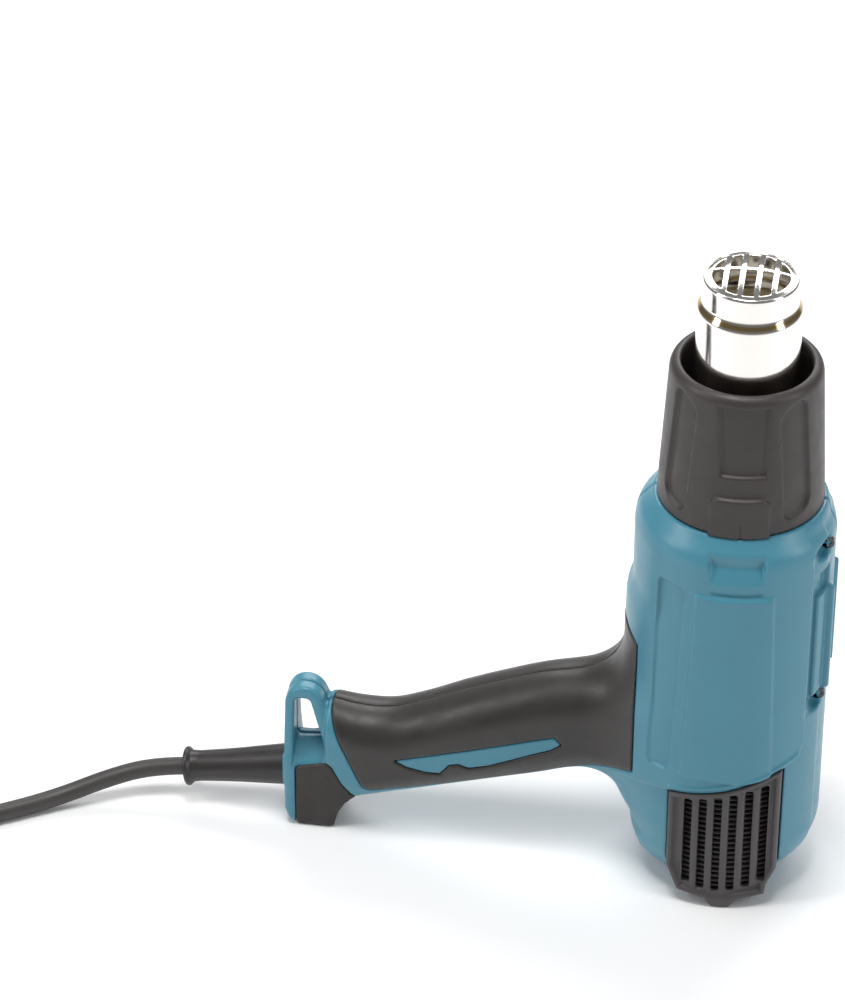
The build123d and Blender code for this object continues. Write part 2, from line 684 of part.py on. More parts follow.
def screw_access(x, z, side, head_y):
    """The open recess above a screw head."""
    low, high = sorted((side * head_y, side * 40))
    return along_y(x, z, HEAD_R + 0.4, low, high)


with BuildPart() as housing_screws:
    for x, z, side, head_y in SCREWS:
        add(screw_solid(x, z, side, head_y))
        with BuildSketch(Plane(origin=(x, side * head_y, z), x_dir=(1, 0, 0), z_dir=(0, side, 0))):
            Rectangle(3.0, 0.8)
            Rectangle(0.8, 3.2)
        extrude(amount=-0.9, mode=Mode.SUBTRACT)
keep(housing_screws.part, "housing_screws")


# ---------------------------------------------------------------- the two shells
def cylinder_z(radius, low, high):
    """A round bar on the barrel axis."""
    with BuildPart() as solid:
        with BuildSketch(Plane.XY.offset(low)):
            Circle(radius)
        extrude(amount=high - low)
    return solid.part


with BuildPart() as hollow:
    add(cavity.part)
    add(cylinder_z(60, STEP_Z, COLLAR_Z + 1), mode=Mode.SUBTRACT)
    add(cylinder_z(SPIGOT_R + FIT, STEP_Z - 1, COLLAR_Z + 1))

with BuildPart() as bosses:
    for x, z, side, head_y in SCREWS:
        add(along_y(x, z, SCREW_BOSS_R, -40, 40))
    add(outer.part, mode=Mode.INTERSECT)
    add(cylinder_z(SHROUD_R + 0.1, 60, STEP_Z), mode=Mode.SUBTRACT)
    add(cylinder_z(SPIGOT_R + FIT, STEP_Z, COLLAR_Z + 1), mode=Mode.SUBTRACT)

with BuildPart() as shroud_ribs:
    for z in (78, 98):
        outer_r = BARREL_R - WALL + 0.5
        add(ring([(SHROUD_R, z), (outer_r, z), (outer_r, z + 2), (SHROUD_R, z + 2)]))
    add(prism([(-60, 60), (-29, 60), (-29, 110), (-60, 110)], 9), mode=Mode.SUBTRACT)

with BuildPart() as shells:
    add(outer.part)
    add(hollow.part, mode=Mode.SUBTRACT)
    add(bosses.part)
    add(shroud_ribs.part)
    add(grip_skin.part, mode=Mode.SUBTRACT)
    for side in (-1, 1):
        window = ring([(29.0, -1), (39.0, -1), (39.0, 66), (29.0, 66)])
        add(window & side_prism(GRILLE_OUTLINE, side), mode=Mode.SUBTRACT)
        add(side_prism(PAD_OUTLINE, side, FOOT_HALF_WIDTH - PAD_DEPTH, 20), mode=Mode.SUBTRACT)
    add(switch_recess.part, mode=Mode.SUBTRACT)
    add(switch_slot.part, mode=Mode.SUBTRACT)
    add(cylinder_z(3, REAR_Z - 1, REAR_Z + WALL), mode=Mode.SUBTRACT)
    add(along_relief([(-9, 0), (-9, 10), (-6, 10), (-6, 8.0), (3, 8.0), (3, 0)]), mode=Mode.SUBTRACT)
    add(along_relief([(-20, 0), (-20, 3.8), (-8, 3.8), (-8, 0)]), mode=Mode.SUBTRACT)
    for x, z, side, head_y in SCREWS:
        add(screw_solid(x, z, side, head_y), mode=Mode.SUBTRACT)
        add(screw_access(x, z, side, head_y), mode=Mode.SUBTRACT)

for side, name in ((-1, "left"), (1, "right")):
    keep(half(shells.part, side), "housing_" + name)

with BuildPart() as grip_with_access:
    add(half(grip_skin.part, 1))
    for x, z, side, head_y in SCREWS:
        add(screw_access(x, z, side, head_y), mode=Mode.SUBTRACT)
    add(housing_screws.part, mode=Mode.SUBTRACT)
keep(grip_with_access.part, "grip_cover_right")


# ---------------------------------------------------------------- wiring inside the gun
def run_of_tube(points, radius, corner=None):
    """A round tube along straight runs; each corner is an arc as large as its two runs allow."""
    spots = [Vector(*p) for p in points]
    corners = []
    for a, b, c in zip(spots, spots[1:], spots[2:]):
        turn = radians((b - a).get_angle(c - b))
        fit = 0.45 * min((b - a).length, (c - b).length) * cos(turn / 2) / sin(turn / 2)
        corners.append(min(corner, fit) if corner else fit)
    with BuildPart() as tube:
        with BuildLine() as path:
            FilletPolyline(*points, radius=corners)
        with BuildSketch(Plane(origin=spots[0], z_dir=spots[1] - spots[0])):
            Circle(radius)
        sweep(path=path.wires()[0])
    return tube.part, corners, path.wires()[0].length


LEADS = [
    [(-126, -6.5, 34), (-100, -8, 47), (-66, -8.5, 60), (-44, -8, 60), (-31, -5, 52), (-22, -3, 41),
     (-15, -1.5, 36.6)],
    [(-127, -3.5, 31), (-104, -5, 41), (-97, -5.5, 45)],
]
for y in (-1, 1):
    LEADS.append([(-56, 3 * y, 65), (-43, 1.8 * y, 60), (-34.2, 1.6 * y, 64), (-33.4, 1.8 * y, 82),
                  (-33.2, 2 * y, 104), (-29.6, 2 * y, 114), (-22.9, 2.2 * y, 126), (-22.8, 2.4 * y, 144.5)])
with BuildPart() as internal_leads:
    for points in LEADS:
        add(run_of_tube(points, 0.9, corner=6)[0])
keep(internal_leads.part, "internal_leads")


# ---------------------------------------------------------------- mains cord
# from the strain relief down to the floor, then to the coil; the points are the curve's control points
CORD_ROUTE = [
    (-209.14, 0.0, 13.57),
    (-222.5, -0.4, 12.2),
    (-239.0, -6.4, 9.0),
    (-258.0, -16.0, 4.0),
    (-280.0, -29.5, 3.5),
    (-306.0, -42.5, 3.6),
]
COIL_OUTER_R = COIL_MID_R + CORD_D
LEAD_ANGLE = radians(-64.0)          # where the lead meets the outside of the coil
LEAD_END = (COIL_CENTRE[0] + COIL_OUTER_R * cos(LEAD_ANGLE),
            COIL_CENTRE[1] + COIL_OUTER_R * sin(LEAD_ANGLE), COIL_BASE_Z + CORD_D / 2)

cord_tube, cord_corners, cord_run = run_of_tube(CORD_ROUTE + [LEAD_END], CORD_D / 2)
keep(cord_tube, "power_cord")
print("cord exit", CORD_EXIT, "run", round(cord_run, 1), "radii", [round(r, 1) for r in cord_corners])
print("cord volume", cord_tube.volume, "section x length", pi * CORD_D ** 2 / 4 * cord_run)

coil_plane = Plane(origin=(*COIL_CENTRE, 0), x_dir=(1, 0, 0), z_dir=(0, -1, 0))
coil_axis = Axis((*COIL_CENTRE, 0), (0, 0, 1))
COIL_HALF_W = 1.5 * CORD_D
COIL_TOP_Z = COIL_BASE_Z + COIL_LAYERS * CORD_D
with BuildPart() as cord_coil:
    with BuildSketch(coil_plane):
        with Locations((COIL_MID_R, (COIL_BASE_Z + COIL_TOP_Z) / 2)):
            RectangleRounded(2 * COIL_HALF_W, COIL_TOP_Z - COIL_BASE_Z, CORD_D / 2)
    revolve(axis=coil_axis)
keep(cord_coil.part, "cord_coil")

TIE_THICK = 0.9
TIE_ARC = 16
with BuildPart() as cord_ties:
    for turn in (95, -25):
        tie_plane = Plane(origin=(*COIL_CENTRE, 0), x_dir=(cos(radians(turn)), sin(radians(turn)), 0),
                          z_dir=(sin(radians(turn)), -cos(radians(turn)), 0))
        with BuildSketch(tie_plane):
            with Locations((COIL_MID_R, (COIL_BASE_Z + COIL_TOP_Z) / 2)):
                RectangleRounded(2 * COIL_HALF_W + 2 * TIE_THICK, COIL_TOP_Z - COIL_BASE_Z + 2 * TIE_THICK,
                                 CORD_D / 2 + TIE_THICK)
                RectangleRounded(2 * COIL_HALF_W, COIL_TOP_Z - COIL_BASE_Z, CORD_D / 2,
                                 mode=Mode.SUBTRACT)
        revolve(axis=coil_axis, revolution_arc=TIE_ARC)
keep(cord_ties.part, "cord_ties")

# the plug lies across the top of the coil, pointing along +Y
TAIL_R = 35.0
TAIL_START = radians(325)            # direction from the coil's middle where the tail leaves the turns
TAIL_MID = (COIL_CENTRE[0] + (COIL_MID_R - TAIL_R) * cos(TAIL_START),
            COIL_CENTRE[1] + (COIL_MID_R - TAIL_R) * sin(TAIL_START))
PLUG_X = TAIL_MID[0] - TAIL_R
PLUG_RELIEF_Y = TAIL_MID[1] + 7.0
PLUG_Z = COIL_TOP_Z + 9.2
PLUG_RELIEF_L = 20.0
PLUG_BODY_L = 34.0
PLUG_BODY_W = 35.0
PLUG_BODY_T = 17.0
PIN_R = 2.4
PIN_L = 19.0
PIN_SPACING = 19.0


def tail_point(degrees_round, z, outside=1.0):
    """A point on the tail's turn, above the coil."""
    angle = radians(degrees_round)
    return (TAIL_MID[0] + TAIL_R * outside * cos(angle), TAIL_MID[1] + TAIL_R * outside * sin(angle), z)


TAIL_ROUTE = [tail_point(288, 22.6), tail_point(258, 25.4, 1.035), tail_point(227, 28.6, 1.035),
              (PLUG_X, TAIL_MID[1] - 10.5, PLUG_Z), (PLUG_X, PLUG_RELIEF_Y, PLUG_Z)]
tail_tube, tail_corners, tail_run = run_of_tube(TAIL_ROUTE, CORD_D / 2)
keep(tail_tube, "plug_tail")
print("tail run", round(tail_run, 1), "radii", [round(r, 1) for r in tail_corners])

plug_plane = Plane(origin=(PLUG_X, PLUG_RELIEF_Y, PLUG_Z), x_dir=(1, 0, 0), z_dir=(0, 1, 0))
with BuildPart() as plug_body:
    for out, width, thick in ((0, 10, 10), (PLUG_RELIEF_L, 14, 13)):
        with BuildSketch(plug_plane.offset(out)):
            RectangleRounded(width, thick, 4.8)
    loft()
    for out, width, thick in ((PLUG_RELIEF_L, 24, 14), (PLUG_RELIEF_L + 14, PLUG_BODY_W, PLUG_BODY_T),
                              (PLUG_RELIEF_L + PLUG_BODY_L, PLUG_BODY_W, PLUG_BODY_T)):
        with BuildSketch(plug_plane.offset(out)):
            RectangleRounded(width, thick, 6.5)
    loft(ruled=True)
keep(plug_body.part, "plug_body")

with BuildPart() as plug_pins:
    with BuildSketch(plug_plane.offset(PLUG_RELIEF_L + PLUG_BODY_L)):
        with GridLocations(PIN_SPACING, 0, 2, 1):
            Circle(PIN_R)
    extrude(amount=PIN_L)
    fillet(plug_pins.edges().group_by(Axis.Y)[-1], 1.2)
keep(plug_pins.part, "plug_pins")
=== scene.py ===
"""Looks of the heat gun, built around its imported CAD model.

Blender's own units are metres; the forms below are worked out in millimetres, in the CAD model's frame.
"""
import math
import bpy
import numpy as np
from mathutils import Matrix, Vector


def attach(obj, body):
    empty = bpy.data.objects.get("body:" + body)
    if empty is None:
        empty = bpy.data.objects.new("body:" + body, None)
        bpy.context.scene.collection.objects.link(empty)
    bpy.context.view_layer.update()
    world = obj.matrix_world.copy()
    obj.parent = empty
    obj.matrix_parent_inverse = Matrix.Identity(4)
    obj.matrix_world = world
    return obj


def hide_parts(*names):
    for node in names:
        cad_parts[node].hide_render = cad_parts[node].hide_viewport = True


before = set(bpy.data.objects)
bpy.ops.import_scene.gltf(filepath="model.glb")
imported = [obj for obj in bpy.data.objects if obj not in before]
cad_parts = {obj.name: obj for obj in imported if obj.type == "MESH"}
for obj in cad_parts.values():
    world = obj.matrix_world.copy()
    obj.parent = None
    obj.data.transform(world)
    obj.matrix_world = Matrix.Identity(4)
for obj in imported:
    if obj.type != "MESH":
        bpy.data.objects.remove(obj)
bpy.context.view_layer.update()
MM = 0.001
GRID = 0.7      # spacing of the shells' grid, in millimetres
CAMERA_AZIMUTH, CAMERA_PITCH = 9.0, 34.72           # degrees
CAMERA_PLACE = (0.08572, -1.27656, 1.04468)
CAMERA_LENS = 154.11                                # for a sensor 36 mm wide
SURROUND_STRENGTH = 0.22
LIGHTS_AIM = (-0.06, 0, 0.12)
# name, place, (width, height), watts
LIGHTS = [
    ("left", (-1.4, -0.5, 1.0), (0.4, 1.2), 10),
    ("right", (1.4, -0.4, 0.9), (0.4, 1.2), 8),
    ("top", (-0.2, -0.2, 2.1), (0.8, 0.6), 24),
    ("back", (0.0, 1.5, 1.3), (1.8, 0.8), 22),
]


# ---------------------------------------------------------------- camera, floor and lights
def add_camera():
    """The viewing angle: from the front left, looking 35 degrees down through a long lens."""
    azimuth, pitch = math.radians(CAMERA_AZIMUTH), math.radians(CAMERA_PITCH)
    data = bpy.data.cameras.new("camera")
    data.lens, data.sensor_width = CAMERA_LENS, 36.0
    data.clip_end = 20.0
    camera = bpy.data.objects.new("camera", data)
    bpy.context.scene.collection.objects.link(camera)
    camera.location = CAMERA_PLACE
    level = math.cos(pitch)
    ahead = Vector((-math.sin(azimuth) * level, math.cos(azimuth) * level, -math.sin(pitch)))
    camera.rotation_mode = "QUATERNION"
    camera.rotation_quaternion = ahead.to_track_quat("-Z", "Y")
    bpy.context.scene.camera = camera


def area_light(name, place, size, power):
    """A soft white rectangular light that faces the gun."""
    data = bpy.data.lights.new(name, "AREA")
    data.shape, data.size, data.size_y = "RECTANGLE", size[0], size[1]
    data.energy = power
    light = bpy.data.objects.new(name, data)
    bpy.context.scene.collection.objects.link(light)
    light.location = place
    light.rotation_mode = "QUATERNION"
    light.rotation_quaternion = (Vector(LIGHTS_AIM) - Vector(place)).to_track_quat("-Z", "Y")


def add_studio():
    """A pale floor, an even pale surround and four soft lights."""
    bpy.ops.mesh.primitive_plane_add(size=12, location=(0, 0, 0))
    floor = bpy.context.object
    floor.name = "floor"
    floor.data.materials.append(floor_material())
    world = bpy.data.worlds.new("studio")
    world.use_nodes = True
    background = world.node_tree.nodes["Background"]
    background.inputs["Color"].default_value = (0.95, 0.97, 1.0, 1)
    background.inputs["Strength"].default_value = SURROUND_STRENGTH
    bpy.context.scene.world = world
    bpy.context.scene.view_settings.view_transform = "Standard"
    for name, place, size, power in LIGHTS:
        area_light(name, place, size, power)


# ---------------------------------------------------------------- materials
def node(tree, kind, inputs=None, **settings):
    """A shader node with its settings and unlinked inputs."""
    made = tree.nodes.new(kind)
    for key, value in settings.items():
        setattr(made, key, value)
    for key, value in (inputs or {}).items():
        made.inputs[key].default_value = value
    return made


def noise(tree, size_mm, detail=2.0, stretch=(1, 1, 1)):
    """Noise whose blotches are about size_mm across, fixed to the object."""
    place = node(tree, "ShaderNodeTexCoord")
    mapping = node(tree, "ShaderNodeMapping", {"Scale": stretch})
    made = node(tree, "ShaderNodeTexNoise", {"Scale": 1000.0 / size_mm, "Detail": detail})
    tree.links.new(place.outputs["Object"], mapping.inputs["Vector"])
    tree.links.new(mapping.outputs["Vector"], made.inputs["Vector"])
    return made.outputs["Fac"]


def spread(tree, value, low, high):
    """A noise value mapped from its usual range onto low to high."""
    made = node(tree, "ShaderNodeMapRange",
                {"From Min": 0.3, "From Max": 0.7, "To Min": low, "To Max": high})
    tree.links.new(value, made.inputs["Value"])
    return made.outputs["Result"]


def blend_colours(tree, factor, first, second):
    """A mix of two colours, each a tuple or another node's output."""
    made = node(tree, "ShaderNodeMix", data_type="RGBA")
    tree.links.new(factor, made.inputs["Factor"])
    for socket, colour in (("A", first), ("B", second)):
        target = [s for s in made.inputs if s.name == socket and s.type == "RGBA"][0]
        if isinstance(colour, tuple):
            target.default_value = (*colour, 1)
        else:
            tree.links.new(colour, target)
    return [s for s in made.outputs if s.type == "RGBA"][0]


def grain(tree, shader, layers):
    """Bumps stacked on the surface: (noise value, depth in millimetres) each."""
    normal = None
    for value, depth in layers:
        bump = node(tree, "ShaderNodeBump", {"Distance": depth * MM, "Strength": 1.0})
        tree.links.new(value, bump.inputs["Height"])
        if normal:
            tree.links.new(normal, bump.inputs["Normal"])
        normal = bump.outputs["Normal"]
    tree.links.new(normal, shader.inputs["Normal"])


def finish(name, colour, roughness, shift=0.06, grain_mm=0.8, depth_mm=0.012, **sockets):
    """A principled material: mottled colour, uneven roughness and a fine moulded grain."""
    made = bpy.data.materials.new(name)
    made.use_nodes = True
    tree = made.node_tree
    shader = tree.nodes["Principled BSDF"]
    for key, value in sockets.items():
        shader.inputs[key.replace("_", " ")].default_value = value
    mottle = spread(tree, noise(tree, 22, 3), 0, 1)
    darker = tuple(c * (1 - shift) for c in colour)
    lighter = tuple(min(1.0, c * (1 + shift)) for c in colour)
    tree.links.new(blend_colours(tree, mottle, darker, lighter), shader.inputs["Base Color"])
    tree.links.new(spread(tree, noise(tree, 6, 2), roughness[0], roughness[1]), shader.inputs["Roughness"])
    grain(tree, shader, [(noise(tree, grain_mm, 2), depth_mm)])
    return made


def shell_finish():
    """Satin moulded plastic, teal."""
    return finish("shell_plastic", (0.062, 0.240, 0.325), (0.30, 0.40), 0.03, 0.7, 0.010,
                  Specular_IOR_Level=0.5)


def grip_finish():
    """Soft-touch overmould: dark, with a broad soft shine."""
    return finish("grip_rubber", (0.024, 0.020, 0.018), (0.38, 0.50), 0.08, 0.8, 0.020, Sheen_Weight=0.12,
                  Sheen_Roughness=0.5)


def sleeve_finish():
    return finish("sleeve_plastic", (0.040, 0.033, 0.031), (0.42, 0.52), 0.06, 0.7, 0.016)


def grille_finish():
    return finish("grille_plastic", (0.062, 0.056, 0.058), (0.40, 0.50), 0.06, 0.7, 0.016)


def pad_finish():
    return finish("foot_rubber", (0.032, 0.028, 0.026), (0.6, 0.7), 0.08, 0.9, 0.025)


def cord_finish():
    return finish("cord_sheath", (0.048, 0.044, 0.042), (0.42, 0.52), 0.06, 1.2, 0.012)


def relief_finish():
    return finish("relief_rubber", (0.026, 0.023, 0.022), (0.34, 0.44), 0.08, 0.9, 0.014)


def rubber_finish():
    return finish("bumper_rubber", (0.030, 0.029, 0.028), (0.65, 0.8), 0.1, 1.0, 0.03)


def dark_finish():
    return finish("dark_moulding", (0.035, 0.034, 0.036), (0.38, 0.5), 0.1, 0.9, 0.012)


def screen_finish():
    return finish("screen_plastic", (0.066, 0.060, 0.056), (0.38, 0.5), 0.1, 0.9, 0.012)


def brass_finish():
    return finish("plated_brass", (0.80, 0.66, 0.38), (0.2, 0.3), 0.05, 1.5, 0.004, Metallic=1.0)


def inner_steel_finish():
    return finish("zinc_steel", (0.55, 0.55, 0.54), (0.28, 0.42), 0.08, 1.5, 0.006, Metallic=1.0)


def black_steel_finish():
    return finish("blackened_steel", (0.10, 0.10, 0.105), (0.3, 0.42), 0.1, 1.2, 0.006, Metallic=1.0)


def copper_finish():
    return finish("enamelled_copper", (0.66, 0.30, 0.14), (0.25, 0.4), 0.12, 0.5, 0.02, Metallic=1.0)


def wire_finish():
    return finish("oxidised_wire", (0.20, 0.16, 0.14), (0.4, 0.6), 0.2, 0.6, 0.03, Metallic=1.0)


def ceramic_finish():
    return finish("unglazed_ceramic", (0.80, 0.77, 0.70), (0.7, 0.85), 0.05, 0.6, 0.03)


def mica_finish():
    return finish("mica_board", (0.56, 0.49, 0.34), (0.35, 0.6), 0.18, 1.6, 0.03)


def board_finish():
    return finish("circuit_board", (0.03, 0.17, 0.08), (0.3, 0.4), 0.1, 1.4, 0.01)


def insulation_finish():
    return finish("wire_insulation", (0.36, 0.06, 0.035), (0.35, 0.45), 0.05, 1.0, 0.006)


def steel_finish():
    """Polished steel with a gold-brown painted reflection along its shoulder, and faint turning marks."""
    made = bpy.data.materials.new("polished_steel")
    made.use_nodes = True
    tree = made.node_tree
    shader = tree.nodes["Principled BSDF"]
    shader.inputs["Metallic"].default_value = 1.0
    place = node(tree, "ShaderNodeTexCoord")
    split = node(tree, "ShaderNodeSeparateXYZ")
    tree.links.new(place.outputs["Object"], split.inputs["Vector"])
    low, high = (OUTLET_PROFILE[3][1] + 0.2) * MM, (OUTLET_PROFILE[4][1] - 0.2) * MM
    band = node(tree, "ShaderNodeValToRGB")
    reach = 0.0004
    span = high - low + 2 * reach
    to_band = node(tree, "ShaderNodeMapRange", {"From Min": low - reach, "From Max": high + reach})
    tree.links.new(split.outputs["Z"], to_band.inputs["Value"])
    tree.links.new(to_band.outputs["Result"], band.inputs["Fac"])
    # the gold-brown colour across the shoulder's band is a painted reflection; bare steel above and below
    # it
    bare, reflection_tint = (0.90, 0.87, 0.82, 1), (0.50, 0.36, 0.17, 1)
    band.color_ramp.elements[0].color = bare
    band.color_ramp.elements[1].color = bare
    for share in (2 * reach / span, 1 - 2 * reach / span):
        band.color_ramp.elements.new(share).color = reflection_tint
    tree.links.new(band.outputs["Color"], shader.inputs["Base Color"])
    turned = noise(tree, 1.1, 2, (0.15, 0.15, 4.0))
    tree.links.new(spread(tree, turned, 0.07, 0.15), shader.inputs["Roughness"])
    grain(tree, shader, [(noise(tree, 9, 1), 0.03), (turned, 0.0015)])
    return made


def floor_material():
    """Matt and nearly white."""
    made = bpy.data.materials.new("floor")
    made.use_nodes = True
    shader = made.node_tree.nodes["Principled BSDF"]
    shader.inputs["Base Color"].default_value = (0.95, 0.95, 0.95, 1)
    shader.inputs["Roughness"].default_value = 0.6
    return made


# the finish of each CAD node that is shown as it is
CAD_FINISHES = [
    (dark_finish, ["switch_body", "board_components", "motor_end_cap",
                   "motor_magnets", "motor_brushes", "fan_impeller", "fan_shroud", "cord_clamp"]),
    (grille_finish, ["switch_slider"]),
    (brass_finish, ["switch_terminals", "motor_bearings", "plug_pins"]),
    (inner_steel_finish, ["motor_can", "motor_shaft", "thermal_cutout", "clamp_screws"]),
    (black_steel_finish, ["housing_screws"]),
    (copper_finish, ["armature", "commutator"]),
    (wire_finish, ["heater_coils"]),
    (ceramic_finish, ["heater_core", "terminal_block"]),
    (mica_finish, ["heater_flange", "mica_sleeve"]),
    (board_finish, ["control_board"]),
    (insulation_finish, ["internal_leads"]),
    (cord_finish, ["cord_tail"]),
    (rubber_finish, ["cord_ties"]),
]


def finish_cad_nodes():
    """Gives the CAD nodes their finishes; their meshes and places stay as they are."""
    for make, nodes in CAD_FINISHES:
        made = make()
        for name in nodes:
            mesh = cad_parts[name].data
            mesh.materials.clear()
            mesh.materials.append(made)


# ---------------------------------------------------------------- mains cord
CORD_D = 7.0
CORD_ROUTE = [
    (-209.14, 0.0, 13.57),
    (-222.5, -0.4, 12.2),
    (-239.0, -6.4, 9.0),
    (-258.0, -16.0, 4.0),
    (-280.0, -29.5, 3.5),
    (-306.0, -42.5, 3.6),
]
COIL_CENTRE = (-352.0, -14.0)
COIL_MID_R = 39.6
COIL_FLOOR_Z = 4.5              # middle of the lowest turns
COIL_START = -64.0              # direction, in degrees, where the lead meets the coil
COIL_TRAVEL = 2491.0            # degrees that the cord turns in the coil
TURNS_PER_SLOT = 320.0          # degrees before the cord steps to its next place in the stack
STEP_ARC = 40.0
POINTS_PER_TURN = 16
# columns outwards from the middle and layers up, in the order that the cord fills them
COIL_SLOTS = [(1, 0), (0, 0), (-1, 0), (-1, 1), (0, 1), (1, 1), (1, 2), (0, 2)]
TAIL_R = 35.0
TAIL_START = math.radians(325)
PLUG_Z = 31.2
PLUG_RELIEF_Y = -9.64


def smooth_step(value):
    """0 up to 0, 1 from 1 on, and an S-shaped curve between."""
    t = min(max(value, 0.0), 1.0)
    return t * t * (3 - 2 * t)


def coil_points():
    """The cord's way round the coil, clockwise from above, moving from slot to slot once a turn."""
    pull = math.cos(math.pi / POINTS_PER_TURN)      # the curve runs inside its control points
    step = 360.0 / POINTS_PER_TURN
    points = []
    for i in range(int(COIL_TRAVEL / step) + 1):
        travel = i * step
        slot = sum(smooth_step((travel - (TURNS_PER_SLOT * k - STEP_ARC)) / STEP_ARC)
                   for k in range(1, len(COIL_SLOTS)))
        low = min(int(slot), len(COIL_SLOTS) - 2)
        column, layer = [a + (b - a) * (slot - low) for a, b in zip(COIL_SLOTS[low], COIL_SLOTS[low + 1])]
        radius = (COIL_MID_R + column * CORD_D) / pull
        angle = math.radians(COIL_START - travel)
        points.append((COIL_CENTRE[0] + radius * math.cos(angle), COIL_CENTRE[1] + radius * math.sin(angle),
                       COIL_FLOOR_Z + layer * CORD_D))
    return points


def tail_points():
    """From the top of the coil up and round to the plug."""
    mid_x = COIL_CENTRE[0] + (COIL_MID_R - TAIL_R) * math.cos(TAIL_START)
    mid_y = COIL_CENTRE[1] + (COIL_MID_R - TAIL_R) * math.sin(TAIL_START)
    plug_x = mid_x - TAIL_R

    def on_turn(degrees_round, z, outside=1.0):
        angle = math.radians(degrees_round)
        return (mid_x + TAIL_R * outside * math.cos(angle), mid_y + TAIL_R * outside * math.sin(angle), z)

    return [on_turn(312, 19.6, 1.01), on_turn(288, 22.6, 1.02), on_turn(258, 25.4, 1.035),
            on_turn(227, 28.6, 1.035), (plug_x, mid_y - 10.5, PLUG_Z), (plug_x, PLUG_RELIEF_Y, PLUG_Z)]


def add_cord():
    """The whole mains cord: one smooth curve from the strain relief through the coil to the plug."""
    points = CORD_ROUTE + coil_points() + tail_points()
    data = bpy.data.curves.new("mains_cord", "CURVE")
    data.dimensions = "3D"
    data.bevel_depth = CORD_D / 2 * MM
    data.bevel_resolution = 6
    data.resolution_u = 6
    data.use_fill_caps = True
    spline = data.splines.new("NURBS")
    spline.points.add(len(points) - 1)
    for point, place in zip(spline.points, points):
        point.co = (place[0] * MM, place[1] * MM, place[2] * MM, 1)
    spline.order_u = 3
    spline.use_endpoint_u = True
    cord = bpy.data.objects.new("mains_cord", data)
    bpy.context.scene.collection.objects.link(cord)
    data.materials.append(cord_finish())
    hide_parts("power_cord", "cord_coil", "plug_tail")
    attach(cord, "gun")
    return cord


# ---------------------------------------------------------------- distance fields and meshes (millimetres)
def round_max(a, b, soft):
    """What two forms share, with the edge between them rounded."""
    near = np.maximum(soft - np.abs(a - b), 0) / soft
    return np.maximum(a, b) + near * near * soft / 4


def round_min(a, b, soft):
    """Two forms joined, with a fillet between them."""
    return -round_max(-a, -b, soft)


def box2(u, v, half_u, half_v, corner):
    """Distance to a rounded rectangle."""
    qu, qv = np.abs(u) - half_u + corner, np.abs(v) - half_v + corner
    return np.hypot(np.maximum(qu, 0), np.maximum(qv, 0)) + np.minimum(np.maximum(qu, qv), 0) - corner


def polygon(u, v, points):
    """Distance to a closed outline."""
    inside = np.zeros(np.broadcast(u, v).shape, bool)
    nearest = np.full(inside.shape, 1e9)
    for (au, av), (bu, bv) in zip(points, points[1:] + points[:1]):
        eu, ev = bu - au, bv - av
        t = np.clip(((u - au) * eu + (v - av) * ev) / (eu * eu + ev * ev), 0, 1)
        nearest = np.minimum(nearest, (u - au - t * eu) ** 2 + (v - av - t * ev) ** 2)
        if ev:
            inside ^= ((av > v) != (bv > v)) & (au + eu * (v - av) / ev > u)
    return np.where(inside, -1, 1) * np.sqrt(nearest)


def slanted_box(s, z, left, right, low, high):
    """Distance to a box with leaning sides: left and right are (place at low, place at high)."""
    t = (z - low) / (high - low)
    a, b = left[0] + (left[1] - left[0]) * t, right[0] + (right[1] - right[0]) * t
    return np.maximum(np.maximum(a - s, s - b), np.maximum(low - z, z - high))


def rise(distance, soft):
    """From 0 outside an outline to 1 inside it, over a slope of the width soft."""
    t = np.clip(0.5 - distance / soft, 0, 1)
    return t * t * (3 - 2 * t)


def smooth_through(x, places, values):
    """A smooth curve through the values at the places (rising), read at x."""
    slopes = np.gradient(values, places)
    x = np.clip(x, places[0], places[-1])
    i = np.clip(np.searchsorted(places, x) - 1, 0, len(places) - 2)
    span = places[i + 1] - places[i]
    t = (x - places[i]) / span
    return (values[i] * (1 + 2 * t) * (1 - t) ** 2 + values[i + 1] * t * t * (3 - 2 * t)
            + span * (slopes[i] * t * (1 - t) ** 2 - slopes[i + 1] * t * t * (1 - t)))


CORNERS = [(i, j, k) for i in (0, 1) for j in (0, 1) for k in (0, 1)]
CELL_EDGES = [(a, b) for a in range(8) for b in range(a)
              if sum(abs(p - q) for p, q in zip(CORNERS[a], CORNERS[b])) == 1]


def surface(field, low, high, step):
    """Points and four-sided faces of a field's zero surface, by surface nets."""
    axes = [np.arange(a, b + step, step) for a, b in zip(low, high)]
    value = field(axes[0][:, None, None], axes[1][None, :, None], axes[2][None, None, :])
    inside = value < 0
    cells = [n - 1 for n in value.shape]
    views = [inside[i:i + cells[0], j:j + cells[1], k:k + cells[2]] for i, j, k in CORNERS]
    active = np.any(views, axis=0) & ~np.all(views, axis=0)
    index = np.full(active.shape, -1)
    index[active] = np.arange(active.sum())
    at = np.argwhere(active)
    corner = np.stack([value[at[:, 0] + i, at[:, 1] + j, at[:, 2] + k] for i, j, k in CORNERS], 1)
    place, count = np.zeros(at.shape), np.zeros(len(at))
    for a, b in CELL_EDGES:
        crossed = (corner[:, a] < 0) != (corner[:, b] < 0)
        t = np.where(crossed, corner[:, a] / np.where(crossed, corner[:, a] - corner[:, b], 1), 0)
        spot = np.array(CORNERS[a]) + t[:, None] * (np.array(CORNERS[b]) - np.array(CORNERS[a]))
        place += crossed[:, None] * spot
        count += crossed
    points = np.array(low) + (at + place / count[:, None]) * step
    return pulled_onto(field, points, step), cell_faces(inside, index)


